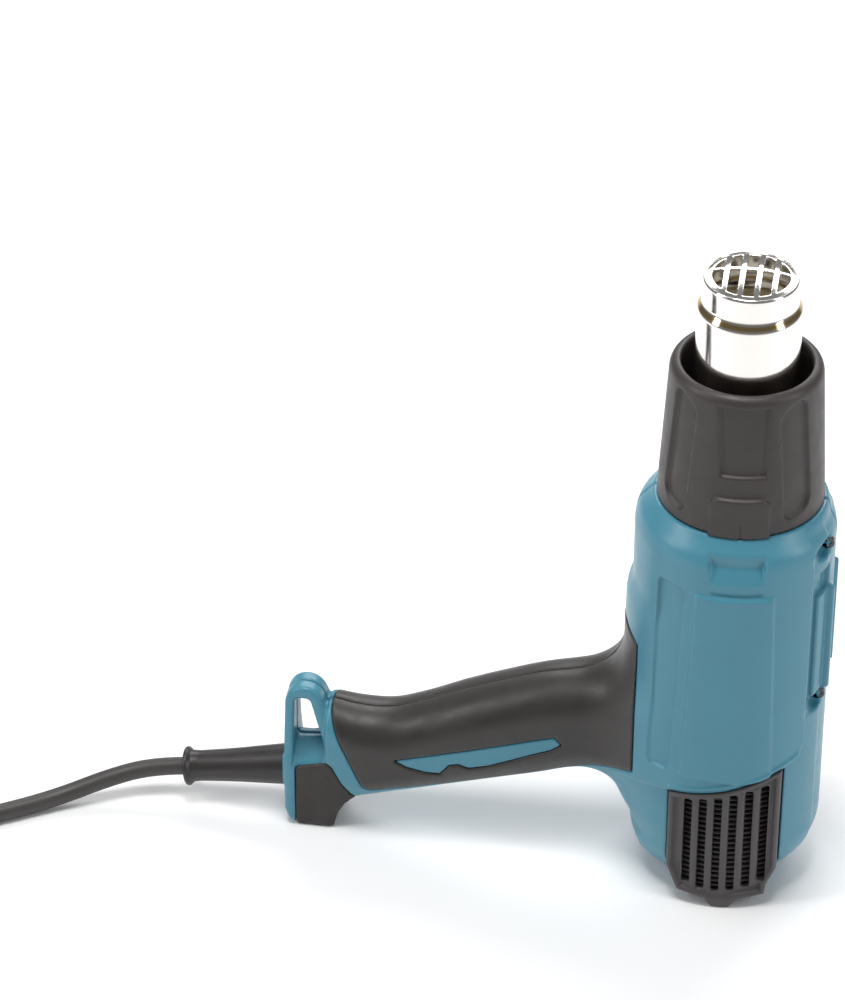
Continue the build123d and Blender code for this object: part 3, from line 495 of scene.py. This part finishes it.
def cell_faces(inside, index):
    """One face for each grid edge that crosses the surface, through the four cells round it."""
    faces = []
    for axis in range(3):
        u, v = (axis + 1) % 3, (axis + 2) % 3
        start, end = [slice(1, -1)] * 3, [slice(1, -1)] * 3
        start[axis], end[axis] = slice(0, -1), slice(1, None)
        a, b = inside[tuple(start)], inside[tuple(end)]
        node = np.argwhere(a != b)
        leaving = a[tuple(node.T)]
        node[:, u] += 1
        node[:, v] += 1
        corners = []
        for du, dv in ((1, 1), (0, 1), (0, 0), (1, 0)):
            cell = node.copy()
            cell[:, u] -= du
            cell[:, v] -= dv
            corners.append(index[tuple(cell.T)])
        face = np.stack(corners, 1)
        face[~leaving] = face[~leaving][:, ::-1]
        faces.append(face)
    return np.concatenate(faces)


def pulled_onto(field, points, step, rounds=3):
    """The points moved along the field's slope until they lie on the surface."""
    reach = 0.02 * step
    for _ in range(rounds):
        x, y, z = points.T
        here = field(x, y, z)
        slope = np.stack([field(x + reach, y, z) - here, field(x, y + reach, z) - here,
                          field(x, y, z + reach) - here], 1) / reach
        move = -here[:, None] * slope / np.maximum((slope ** 2).sum(1), 0.2)[:, None]
        length = np.linalg.norm(move, axis=1, keepdims=True)
        points = points + move * np.minimum(1, 0.4 * step / np.maximum(length, 1e-9))
    return points


def add_piece(name, points, faces, material, body, nodes):
    """A smooth-shaded mesh, given in millimetres, that rides on a body and stands for CAD nodes."""
    mesh = bpy.data.meshes.new(name)
    mesh.from_pydata((np.asarray(points) * MM).tolist(), [], [list(f) for f in faces])
    mesh.validate()
    mesh.shade_smooth()
    mesh.materials.append(material)
    piece = bpy.data.objects.new(name, mesh)
    bpy.context.scene.collection.objects.link(piece)
    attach(piece, body)
    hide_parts(*nodes)
    return piece


def mirrored(points, faces):
    """The same mesh on the other side of the plane y = 0."""
    return points * (1, -1, 1), faces[:, ::-1]


# ---------------------------------------------------------------- forms of the gun (millimetres)
BARREL_R = 37.0
REAR_ROUND = 24.0
REAR_Z = 3.0
COLLAR_R = 31.4
COLLAR_Z = 166.0
STEP_Z = 148.0
SHOULDER = (5.6, 8.8)            # fall in radius over height
SPIGOT_BORE_R = 29.5
BARREL_WALL = 6.2               # from the plain barrel in to the room inside
SHELL_WALL = 2.2                # least wall behind a moulding
SKIN = 2.0                      # thickness of the grip covers
SEAM = 0.1                      # half the gap between the shells
# handle sections: x, middle z, half depth, half width, corner radius
HANDLE = np.array([
    (-151, 32.2, 22.0, 12.9, 12.0),
    (-140, 32.2, 19.9, 14.3, 12.6),
    (-128, 34.2, 18.3, 14.8, 13.0),
    (-115, 38.5, 18.8, 15.2, 13.5),
    (-100, 44.3, 20.0, 15.8, 14.0),
    (-85, 49.6, 20.8, 16.0, 14.0),
    (-70, 54.5, 21.4, 16.0, 14.0),
    (-58, 58.0, 20.8, 16.4, 14.0),
    (-44, 60.6, 21.8, 16.8, 14.0),
    (-30, 63.0, 23.0, 17.5, 14.5),
])
HANDLE_LEAN = 0.955             # cosine of the handle's slope
GRIP_OUTLINE = [(-157.0, 92), (-153.4, 61.3), (-148.6, 46.9), (-139.0, 25.7), (-137.4, 22.4),
                (-134.6, 21.0), (-113.5, 25.2), (-85.6, 32.2), (-58.0, 41.5), (-49.7, 45.4), (-38, 48.9),
                (-33.6, 50.4), (-33.6, 106.5), (-38.6, 110.0), (-60, 112.0)]
WINDOW_OUTLINE = [(-125.1, 37.7), (-63.8, 57.2), (-61.2, 54.0), (-65.0, 50.9), (-88.9, 40.4), (-96.3, 38.3),
                  (-100.0, 39.6), (-103.7, 38.8), (-107.4, 34.0), (-113.0, 33.9), (-120.4, 35.3)]
FOOT_OUTLINE = [(-168.6, 7), (-168.6, 31), (-150, 34), (-138.5, 24), (-139.2, 16.8), (-142.0, 14.4),
                (-145.0, 11.4), (-147.9, 6.5), (-149.6, 0), (-163.4, 0), (-167.2, 2.2)]
LOOP_CORE, LOOP_EDGE = [(-161.2, 53.8), (-161.2, 22), (-152.9, 26)], 7.4
SCOOP = [(-165.0, 20), (-165.0, 45), (-155.1, 45), (-151.0, 30), (-149.6, 20)]
HOLE_CORE, HOLE_EDGE = [(-162.6, 54.0), (-160.6, 54.0), (-155.6, 38.6), (-162.9, 38.0)], 2.2
PAD_OUTLINE = [(-164.0, 27.0), (-163.0, 28.3), (-151.2, 31.0), (-149.6, 30.0), (-146.0, 23.0),
               (-142.6, 18.0), (-139.8, 15.2), (-134.0, 10.0), (-145.0, -4.0), (-164.0, -4.0)]
PAD_SKIN = 1.6
GRILLE_OUTLINE = [(-18.8, 51.0), (2.0, 56.2), (22.8, 63.9), (22.6, 17.2), (19.4, 10.0), (18.7, 5.2),
                  (8.7, 4.2), (6.0, 0), (-0.9, 0), (-3.9, 4.2), (-14.5, 5.2), (-18.8, 16.0)]
# shell screws: x, z, side of the head, |y| of the head
SCREWS = [(33.0, 153.0, -1, 9.5), (33.0, 85.0, -1, 9.5), (-28.5, 137.0, 1, 18.0),
          (-90.0, 60.5, 1, 10.5), (-146.5, 44.0, 1, 10.0), (30.0, 26.0, 1, 14.0)]
POCKET_R = 3.7


def lip(s):
    """Height of the front cover's lower edge over the intake, along the barrel's round."""
    return 55.9 + 0.29 * s + 0.0014 * s * s


def side_relief(s, z):
    """How far the moulded side stands out from the plain barrel, at s along its round from the middle."""
    # the front cover over the intake, the raised panel on it and the recess on the handle's side of that
    cover = round_max(lip(s) - z, s - 33.9, 9)
    height = 1.9 * rise(cover, 0.7) - 1.1
    height += 1.1 * rise(slanted_box(s, z, (-14.9, -11.6), (18.8, 16.4), 61, 144), 1.5)
    recess = box2(s + 24.9 - 0.03 * (z - 60), z - 102, 4.4 + 0.018 * (z - 60), 42, 2)
    height -= 1.9 * rise(recess, 1.0)
    # the facet cut into the shoulder, the groove under it and the bead under the cover's edge
    facet = slanted_box(s, z, (-6.1, -8.6), (12.3, 13.6), 149.8, 161.5)
    height -= 2.6 * rise(facet, 0.9) * np.clip(np.minimum((z - 149.8) / 6, (161.5 - z) / 5), 0, 1)
    height -= 0.8 * rise(box2(s - 3.1, z - 145.6, 9.2, 0.6, 0.6), 1.0)
    bead = np.maximum(np.abs(lip(s) + 2.4 - z) - 0.7, np.abs(s - 6) - 25)
    height += 0.7 * rise(bead, 1.4)
    # the channel beside the spine, the raised strip in it and the slightly lower spine
    channel = np.maximum(s - 48, np.abs(z - 116) - 28.5)
    height -= 2.4 * rise(channel, 1.0) * rise(34.5 - s, 3.6)
    height += 2.1 * rise(box2(s - 45.0, z - 111, 5.4, 23, 1.0), 1.0)
    height -= 0.4 * rise(46 - s, 3.0)
    # all of it fades out towards both ends of the barrel
    return height * rise(z - 162.5, 6.0) * rise(-z + 9, 10.0)


def plain_barrel(x, y, z):
    """The barrel with its sloping shoulder and a rear edge whose rounding is smaller under the handle."""
    r = np.hypot(x, y)
    radius = REAR_ROUND - 9 * np.clip((-x - 4) / 26, 0, 1)
    out, back = r - BARREL_R + radius, REAR_Z + radius - z
    rear = np.hypot(np.maximum(out, 0), np.maximum(back, 0)) + np.minimum(np.maximum(out, back), 0) - radius
    slope = ((r - COLLAR_R) * SHOULDER[1] + (z - COLLAR_Z) * SHOULDER[0]) / math.hypot(*SHOULDER)
    return np.maximum(round_max(rear, slope, 2.2), z - COLLAR_Z)


def saddle(x, y, z):
    """The swelling of the barrel towards the handle."""
    return round_max(np.hypot(x + 9, y) - 31.0, np.abs(z - 76) - 55, 12)


def handle(x, y, z):
    """The handle: rounded sections read from HANDLE, cut off at both ends."""
    middle, depth, width, corner = [smooth_through(x, HANDLE[:, 0], HANDLE[:, i]) for i in range(1, 5)]
    section = box2(y, (z - middle) * HANDLE_LEAN, width, depth * HANDLE_LEAN, corner)
    return round_max(section, np.maximum(-152.5 - x, x + 20), 2.0)


def foot(x, y, z):
    """The block at the end of the handle that the gun stands on."""
    return round_max(polygon(x, z, FOOT_OUTLINE), np.abs(y) - 12.5, 3.0)


def butt(x, y, z):
    """The foot under the hanging loop, whose hole has a sloping sill."""
    half = 6.2 + 0.21 * np.clip(58 - z, 0, 30)
    ring = round_max(polygon(x, z, LOOP_CORE) - LOOP_EDGE, np.abs(y) - half, 2.4)
    both = round_min(foot(x, y, z), ring, 2.0)
    sill = 38.4 - 0.9 * np.abs(y)
    scoop = np.maximum(np.maximum(sill - z, z - 44), polygon(x, z, SCOOP))
    hole = np.minimum(polygon(x, z, HOLE_CORE) - HOLE_EDGE, scoop)
    return round_max(both, -hole, 1.8)


def gun_form(x, y, z):
    """The whole outside of the two shells and the grip, as one form."""
    s = BARREL_R * np.arctan2(x, np.abs(y) + 1e-6)
    barrel = plain_barrel(x, y, z) - side_relief(s, z)
    body = round_min(barrel, saddle(x, y, z), 3.0)
    held = round_min(body, handle(x, y, z), 17.0)
    return round_min(held, butt(x, y, z), 1.2)


def hollow_form(x, y, z, outer):
    """The room inside the shells, which leaves a wall behind every moulding."""
    barrel = round_max(plain_barrel(x, y, z) + BARREL_WALL, z - STEP_Z, 1.0)
    room = np.minimum(barrel, saddle(x, y, z) + 4.0)
    room = np.minimum(room, np.maximum(handle(x, y, z) + 4.0, -146 - x))
    room = np.maximum(room, outer + SHELL_WALL)
    return np.minimum(room, np.maximum(np.hypot(x, y) - SPIGOT_BORE_R, STEP_Z - 1 - z))


def grip_zone(x, y, z):
    """The soft cover in side view: inside its outline and outside its window.

    Inside the barrel the outline is carried in towards the axis, so that its edge is square to the surface.
    """
    across = x * BARREL_R / np.clip(np.hypot(x, y), 20, BARREL_R)
    return np.maximum(polygon(across, z, GRIP_OUTLINE), -polygon(x, z, WINDOW_OUTLINE))


def grip_form(x, y, z):
    """One soft cover: a skin on the handle, standing slightly proud of the shell."""
    form = gun_form(x, y, z) - 0.25
    skin = np.maximum(round_max(form, grip_zone(x, y, z) + 0.12, 0.9), -(form + SKIN))
    return round_max(skin, y + SEAM, 0.7)


def pad_form(x, y, z):
    """One rubber pad of the foot."""
    form = foot(x, y, z) - 0.1
    pad = np.maximum(round_max(form, polygon(x, z, PAD_OUTLINE) + 0.12, 1.0), -(form + PAD_SKIN))
    return round_max(pad, y + SEAM, 0.6)


def grille_zone(x, y, z, grow):
    """The opening for an intake grille, looking from the side."""
    return np.maximum(polygon(x, z, GRILLE_OUTLINE) - grow, y + 10)


def shell_form(side):
    """One shell, made on the -Y side of the joint plane: side is -1 for the left one, 1 for the right."""
    def form(x, y, z):
        outer = gun_form(x, y, z)
        solid = round_max(outer, -np.maximum(grip_zone(x, y, z) - 0.12, -(outer + SKIN)), 0.7)
        foot_skin = np.maximum(polygon(x, z, PAD_OUTLINE) - 0.12, -(foot(x, y, z) + PAD_SKIN))
        solid = round_max(solid, -foot_skin, 0.8)
        solid = np.maximum(solid, -hollow_form(x, y, z, outer))
        solid = round_max(solid, -np.maximum(grille_zone(x, y, z, 0.16), 28.5 - np.hypot(x, y)), 0.7)
        for screw_x, screw_z, head_side, head_y in SCREWS:
            if head_side == side:
                pocket = np.maximum(np.hypot(x - screw_x, z - screw_z) - POCKET_R, y + head_y)
                solid = round_max(solid, -pocket, 1.0)
        return round_max(solid, y + SEAM, 0.8)
    return form


def add_shells(material):
    """Both shells; the right one is made on the left and then mirrored."""
    low, high = (-171, -40, -1.4), (39.5, 0.8, 168)
    for side, name in ((-1, "left"), (1, "right")):
        points, faces = surface(shell_form(side), low, high, GRID)
        if side > 0:
            points, faces = mirrored(points, faces)
        add_piece("shell_" + name, points, faces, material, "gun", ["housing_" + name])


def add_pair(name, field, low, high, step, material, cad_name):
    """A left piece from a field, and its mirror image."""
    points, faces = surface(field, low, high, step)
    add_piece(name + "_left", points, faces, material, "gun", [cad_name + "_left"])
    points, faces = mirrored(points, faces)
    add_piece(name + "_right", points, faces, material, "gun", [cad_name + "_right"])


# ---------------------------------------------------------------- intake grilles
GRILLE_FACE = (np.array([0.0, 3.0, 10.0, 24.0, 70.0]), np.array([36.4, 36.8, 37.6, 38.3, 38.3]))
SLOT_PITCH = 5.6
SLOT_HALF = 1.4
SLOTS_MID_X = 2.9
SLOT_X = [SLOTS_MID_X + SLOT_PITCH * (i - 2.5) for i in range(6)]
OFF_PLANE = 12                  # grille and screen stay this far from the joint plane


def grille_form(x, y, z):
    """One intake grille: a bevelled frame round six slots, its face following the barrel."""
    r = np.hypot(x, y)
    edge = polygon(x, z, GRILLE_OUTLINE) + 0.12
    face = smooth_through(z, *GRILLE_FACE) - 2.0 * rise(edge + 2.2, 2.4) * rise(5.5 - z, 4)
    field_top, field_low = 53.4 + 0.27 * x, 6.2 + 0.012 * x * x
    opening = np.maximum(np.abs(x - SLOTS_MID_X) - 16.6, np.maximum(z - field_top, field_low - z))
    face = face + 0.5 * rise(opening + 0.4, 1.2)
    skin = round_max(r - face, edge, 0.8)
    plate = np.maximum(round_max(skin, np.minimum(33.9, face - 2.2) - r, 0.5), y + OFF_PLANE)
    for slot_x in SLOT_X:
        slot = np.maximum(z - 52.4 - 0.27 * slot_x, 7.2 + 0.016 * slot_x ** 2 - z)
        slot = round_max(slot, np.abs(x - slot_x) - SLOT_HALF, 1.2)
        plate = round_max(plate, -slot, 0.9)
    return plate


def screen_form(x, y, z):
    """The dust screen behind a grille: a curved plate ribbed across like a ladder."""
    face = np.minimum(smooth_through(z, *GRILLE_FACE) - 4.0, 33.4)
    ribs = 2.2 * rise(0.62 - np.abs(z % 2.3 - 1.15), 0.5)
    r = np.hypot(x, y)
    plate = np.maximum(r - face + ribs, face - 3.4 - r)
    edge = np.maximum(box2(x - 2.6, z - 32, 18.4, 28, 2), z - 56 - 0.27 * x)
    edge = np.maximum(edge, polygon(x, z, GRILLE_OUTLINE) + 0.5)
    return np.maximum(np.maximum(plate, edge), y + OFF_PLANE)


# ---------------------------------------------------------------- turned pieces
def soft_profile(corners, soft, steps=3):
    """A closed outline (radius, height) with each corner rounded by up to soft."""
    out = []
    n = len(corners)
    for i in range(n):
        here, before, after = (np.array(corners[j % n], float) for j in (i, i - 1, i + 1))
        arms = []
        for other in (before, after):
            arm = other - here
            length = np.linalg.norm(arm)
            arms.append(here + arm / length * min(soft, 0.45 * length))
        for t in np.linspace(0, 1, steps + 1):
            out.append((1 - t) ** 2 * arms[0] + 2 * t * (1 - t) * here + t * t * arms[1])
    return out


def lathe(profile, segments, relief=None):
    """Points and faces of an outline turned about Z; relief(angle, z) moves points in or out."""
    angle = np.arange(segments) * 2 * np.pi / segments
    rings = []
    for r, z in profile:
        radius = np.full(segments, r)
        if relief:
            radius = radius + relief(angle, z)
        rings.append(np.stack([radius * np.sin(angle), -radius * np.cos(angle), np.full(segments, z)], 1))
    n = len(rings)
    i, j = np.meshgrid(np.arange(n), np.arange(segments), indexing="ij")
    k, m = (i + 1) % n, (j + 1) % segments
    faces = np.stack([i * segments + j, i * segments + m, k * segments + m, k * segments + j], -1)
    return np.concatenate(rings), faces.reshape(-1, 4)


TUBE_R, OUTLET_R, TUBE_WALL = 18.8, 17.0, 0.8
OUTLET_PROFILE = [(TUBE_R - TUBE_WALL, 126), (TUBE_R, 126), (TUBE_R, 244.2), (TUBE_R - 0.2, 244.9),
                  (OUTLET_R + 0.2, 247.1), (OUTLET_R, 247.8), (OUTLET_R, 256.2), (OUTLET_R - 0.6, 257.0),
                  (OUTLET_R - TUBE_WALL, 256.6), (OUTLET_R - TUBE_WALL, 247.4), (TUBE_R - TUBE_WALL, 244.0)]


def outlet_relief(angle, z):
    """The small dimple that locks a nozzle, on the side of the handle."""
    away = np.hypot((angle - 1.54 * np.pi) * OUTLET_R, z - 250.2)
    return 0.45 * np.clip(1 - (away / 1.5) ** 2, 0, 1)


def add_outlet(material):
    """The steel tube, with rings close together near its end, where the dimple is."""
    fine = []
    for a, b in zip(soft_profile(OUTLET_PROFILE, 0.35), soft_profile(OUTLET_PROFILE, 0.35)[1:]):
        parts = max(1, int(abs(b[1] - a[1]) / 0.6)) if 246 < min(a[1], b[1]) else 1
        fine += [a + (b - a) * t / parts for t in range(parts)]
    points, faces = lathe(fine, 256, outlet_relief)
    add_piece("outlet_barrel", points, faces, material, "gun", ["outlet_tube"])


DOME_TOP = 259.0
DOME_R = 56.0
BAR_X = [-8.75, -2.95, 2.95, 8.75]


def outlet_grille_form(x, y, z):
    """The domed grille in the outlet: four bars one way and one bar across them."""
    r = np.hypot(x, y)
    away = np.sqrt(x * x + y * y + (z - DOME_TOP + DOME_R) ** 2)
    dome = round_max(np.abs(away - DOME_R + 0.65) - 0.65, r - OUTLET_R + TUBE_WALL, 0.3)
    bars = np.minimum(np.abs(y - 2.2) - 1.0, 13.7 - r)
    for bar in BAR_X:
        bars = np.minimum(bars, np.abs(x - bar) - 1.15)
    return round_max(dome, bars, 0.5)


SLEEVE_LOW, SLEEVE_TOP = 166.3, 222.8
SLEEVE_R = 30.4                 # at its low end; it falls by SLEEVE_FALL over SLEEVE_FALL_H
SLEEVE_FALL, SLEEVE_FALL_H = 3.0, 56.0
SLEEVE_SPIGOT_R = 29.2
SLEEVE_MOUTH_R, SLEEVE_BORE_R = 23.5, 25.2


def sleeve_relief(degrees, z):
    """Mouldings on the heat sleeve: a raised tab, a sunk panel above it and a sunk grip on each side."""
    arc = 0.506 * degrees
    height = 1.5 * rise(box2(arc - 2.0, z - 168, 10.6, 14.0, 3.5), 0.9)
    height -= 0.6 * rise(np.maximum(np.abs(arc - 2.6) - 0.35, z - 172), 0.7)
    panel = slanted_box(arc, z, (-5.8, -8.3), (11.1, 12.4), 190.5, 219.0)
    height -= 1.4 * rise(panel + 0.3, 1.0)
    for middle, lean in ((-24.0, 1), (23.2, -1)):
        across = arc - middle - lean * 0.055 * (z - 194)
        grip = box2(across, z - 194.5 + lean * 0.35 * across, 6.0, 23.0, 4.5)
        height -= 1.4 * rise(grip, 1.1)
    return height


def sleeve_form(x, y, z):
    """The heat sleeve: a tapered cup with a moulded side, its spigot in the barrel and its bore."""
    r = np.hypot(x, y)
    degrees = np.degrees(np.arctan2(x, np.abs(y) + 1e-6))
    side = SLEEVE_R - (z - SLEEVE_LOW) * SLEEVE_FALL / SLEEVE_FALL_H
    outer = np.maximum(r - side - sleeve_relief(degrees, z), SLEEVE_LOW - z)
    outer = round_max(outer, z - SLEEVE_TOP, 4.2)
    spigot = np.maximum(r - SLEEVE_SPIGOT_R, np.maximum(156 - z, z - SLEEVE_LOW - 2))
    bore = np.minimum(SLEEVE_MOUTH_R + np.maximum(220.6 - z, 0) * 0.2, SLEEVE_BORE_R)
    return round_max(np.minimum(outer, spigot), bore - r, 1.2)


BUMPER_PROFILE = [(0.001, 0), (10.2, 0), (10.6, 0.7), (11.6, 0.7), (12.0, 0), (13.4, 0), (14.0, 0.8),
                  (14.0, 3.0), (3.0, 3.0), (3.0, 6.0), (0.001, 6.0)]


# ---------------------------------------------------------------- strain relief and plug
RELIEF_BASE = (-168.6, 0, 19.7)
RELIEF_DROOP = math.radians(8.6)
RELIEF_PROFILE = [(3.5, -9), (10, -9), (10, -6), (8.0, -6), (8.0, 0.6), (7.7, 5), (7.2, 12), (6.75, 18),
                  (6.4, 24), (6.15, 30), (6.0, 35), (6.2, 38), (6.9, 38.8), (7.6, 39.5), (7.6, 40.5),
                  (7.0, 41), (3.5, 41)]


def add_strain_relief(material):
    """The tapered sleeve round the cord, with a collar at its end, along the cord's exit line."""
    points, faces = lathe(soft_profile(RELIEF_PROFILE, 0.5), 96)
    out = np.array([-math.cos(RELIEF_DROOP), 0, -math.sin(RELIEF_DROOP)])
    side = np.array([0.0, 1.0, 0.0])
    up = np.cross(out, side)
    points = points @ np.stack([side, up, out]) + np.array(RELIEF_BASE)
    return add_piece("cord_boot", points, faces[:, ::-1], material, "gun", ["strain_relief"])


PLUG_W = 35.0
PLUG_NECK_W = 23.0


def plug_form(x, y, z):
    """The moulded plug: ribbed boot, flared grip with finger dents and a flat face."""
    along = y - PLUG_RELIEF_Y
    u, v = x - PLUG_X, z - PLUG_Z
    boot_r = 5.0 + 0.1 * along - 0.45 * rise(np.abs((along + 1.6) % 4.0 - 2.0) - 0.7, 0.8)
    boot = round_max(np.hypot(u, v) - boot_r, np.maximum(-along, along - 24), 1.0)
    flare = np.clip((along - 20) / 14, 0, 1)
    neck = PLUG_NECK_W / 2
    width = neck + (PLUG_W / 2 - neck) * flare * flare * (3 - 2 * flare)
    dent = 1.6 * rise(np.hypot(u / 9.0, (along - 37) / 10.0) - 1, 0.8)
    body = box2(u, v, width, 6.8 + 1.7 * flare - dent, 6.0)
    body = round_max(body, np.maximum(20 - along, along - 54), 3.0)
    return round_min(boot, body, 2.5)


PLUG_X = COIL_CENTRE[0] + (COIL_MID_R - TAIL_R) * math.cos(TAIL_START) - TAIL_R


def add_plug(material):
    low = (PLUG_X - 18.5, PLUG_RELIEF_Y - 1, PLUG_Z - 9.5)
    high = (PLUG_X + 18.5, PLUG_RELIEF_Y + 55, PLUG_Z + 9.5)
    points, faces = surface(plug_form, low, high, 0.6)
    return add_piece("plug_shell", points, faces, material, "gun", ["plug_body"])


# ---------------------------------------------------------------- the scene
def add_moulded_pieces():
    """Grips, foot pads and intake grilles, in pairs."""
    coarse = 1.0
    add_pair("grip", grip_form, (-155, -26, 14), (-30, 0.8, 113), 0.7 * coarse, grip_finish(),
             "grip_cover")
    add_pair("pad", pad_form, (-171, -14, -1), (-133, 0.8, 33), 0.5 * coarse, pad_finish(),
             "foot_pad")
    add_pair("grille", grille_form, (-20, -39.5, -1), (24, -11, 65.5), 0.45 * coarse, grille_finish(),
             "intake_grille")
    add_pair("screen", screen_form, (-18, -36, 3), (23, -11, 63), 0.5, screen_finish(),
             "dust_screen")


def add_heat_sleeve():
    points, faces = surface(sleeve_form, (-32.5, -32.5, 155), (32.5, 32.5, 223.8), 0.65)
    add_piece("sleeve_body", points, faces, sleeve_finish(), "sleeve", ["heat_sleeve"])


def add_steel_pieces():
    steel = steel_finish()
    add_outlet(steel)
    points, faces = surface(outlet_grille_form, (-17.2, -17.2, 253), (17.2, 17.2, 260), 0.3)
    add_piece("outlet_dome", points, faces, steel, "gun", ["outlet_grille"])


def add_bumper():
    points, faces = lathe(soft_profile(BUMPER_PROFILE, 0.3), 96)
    add_piece("rear_foot", points, faces, rubber_finish(), "gun", ["rear_bumper"])


add_camera()
add_studio()
finish_cad_nodes()
mains_cord = add_cord()
cord_boot = add_strain_relief(relief_finish())
plug_shell = add_plug(cord_finish())
add_shells(shell_finish())
add_moulded_pieces()
add_heat_sleeve()
add_steel_pieces()
add_bumper()
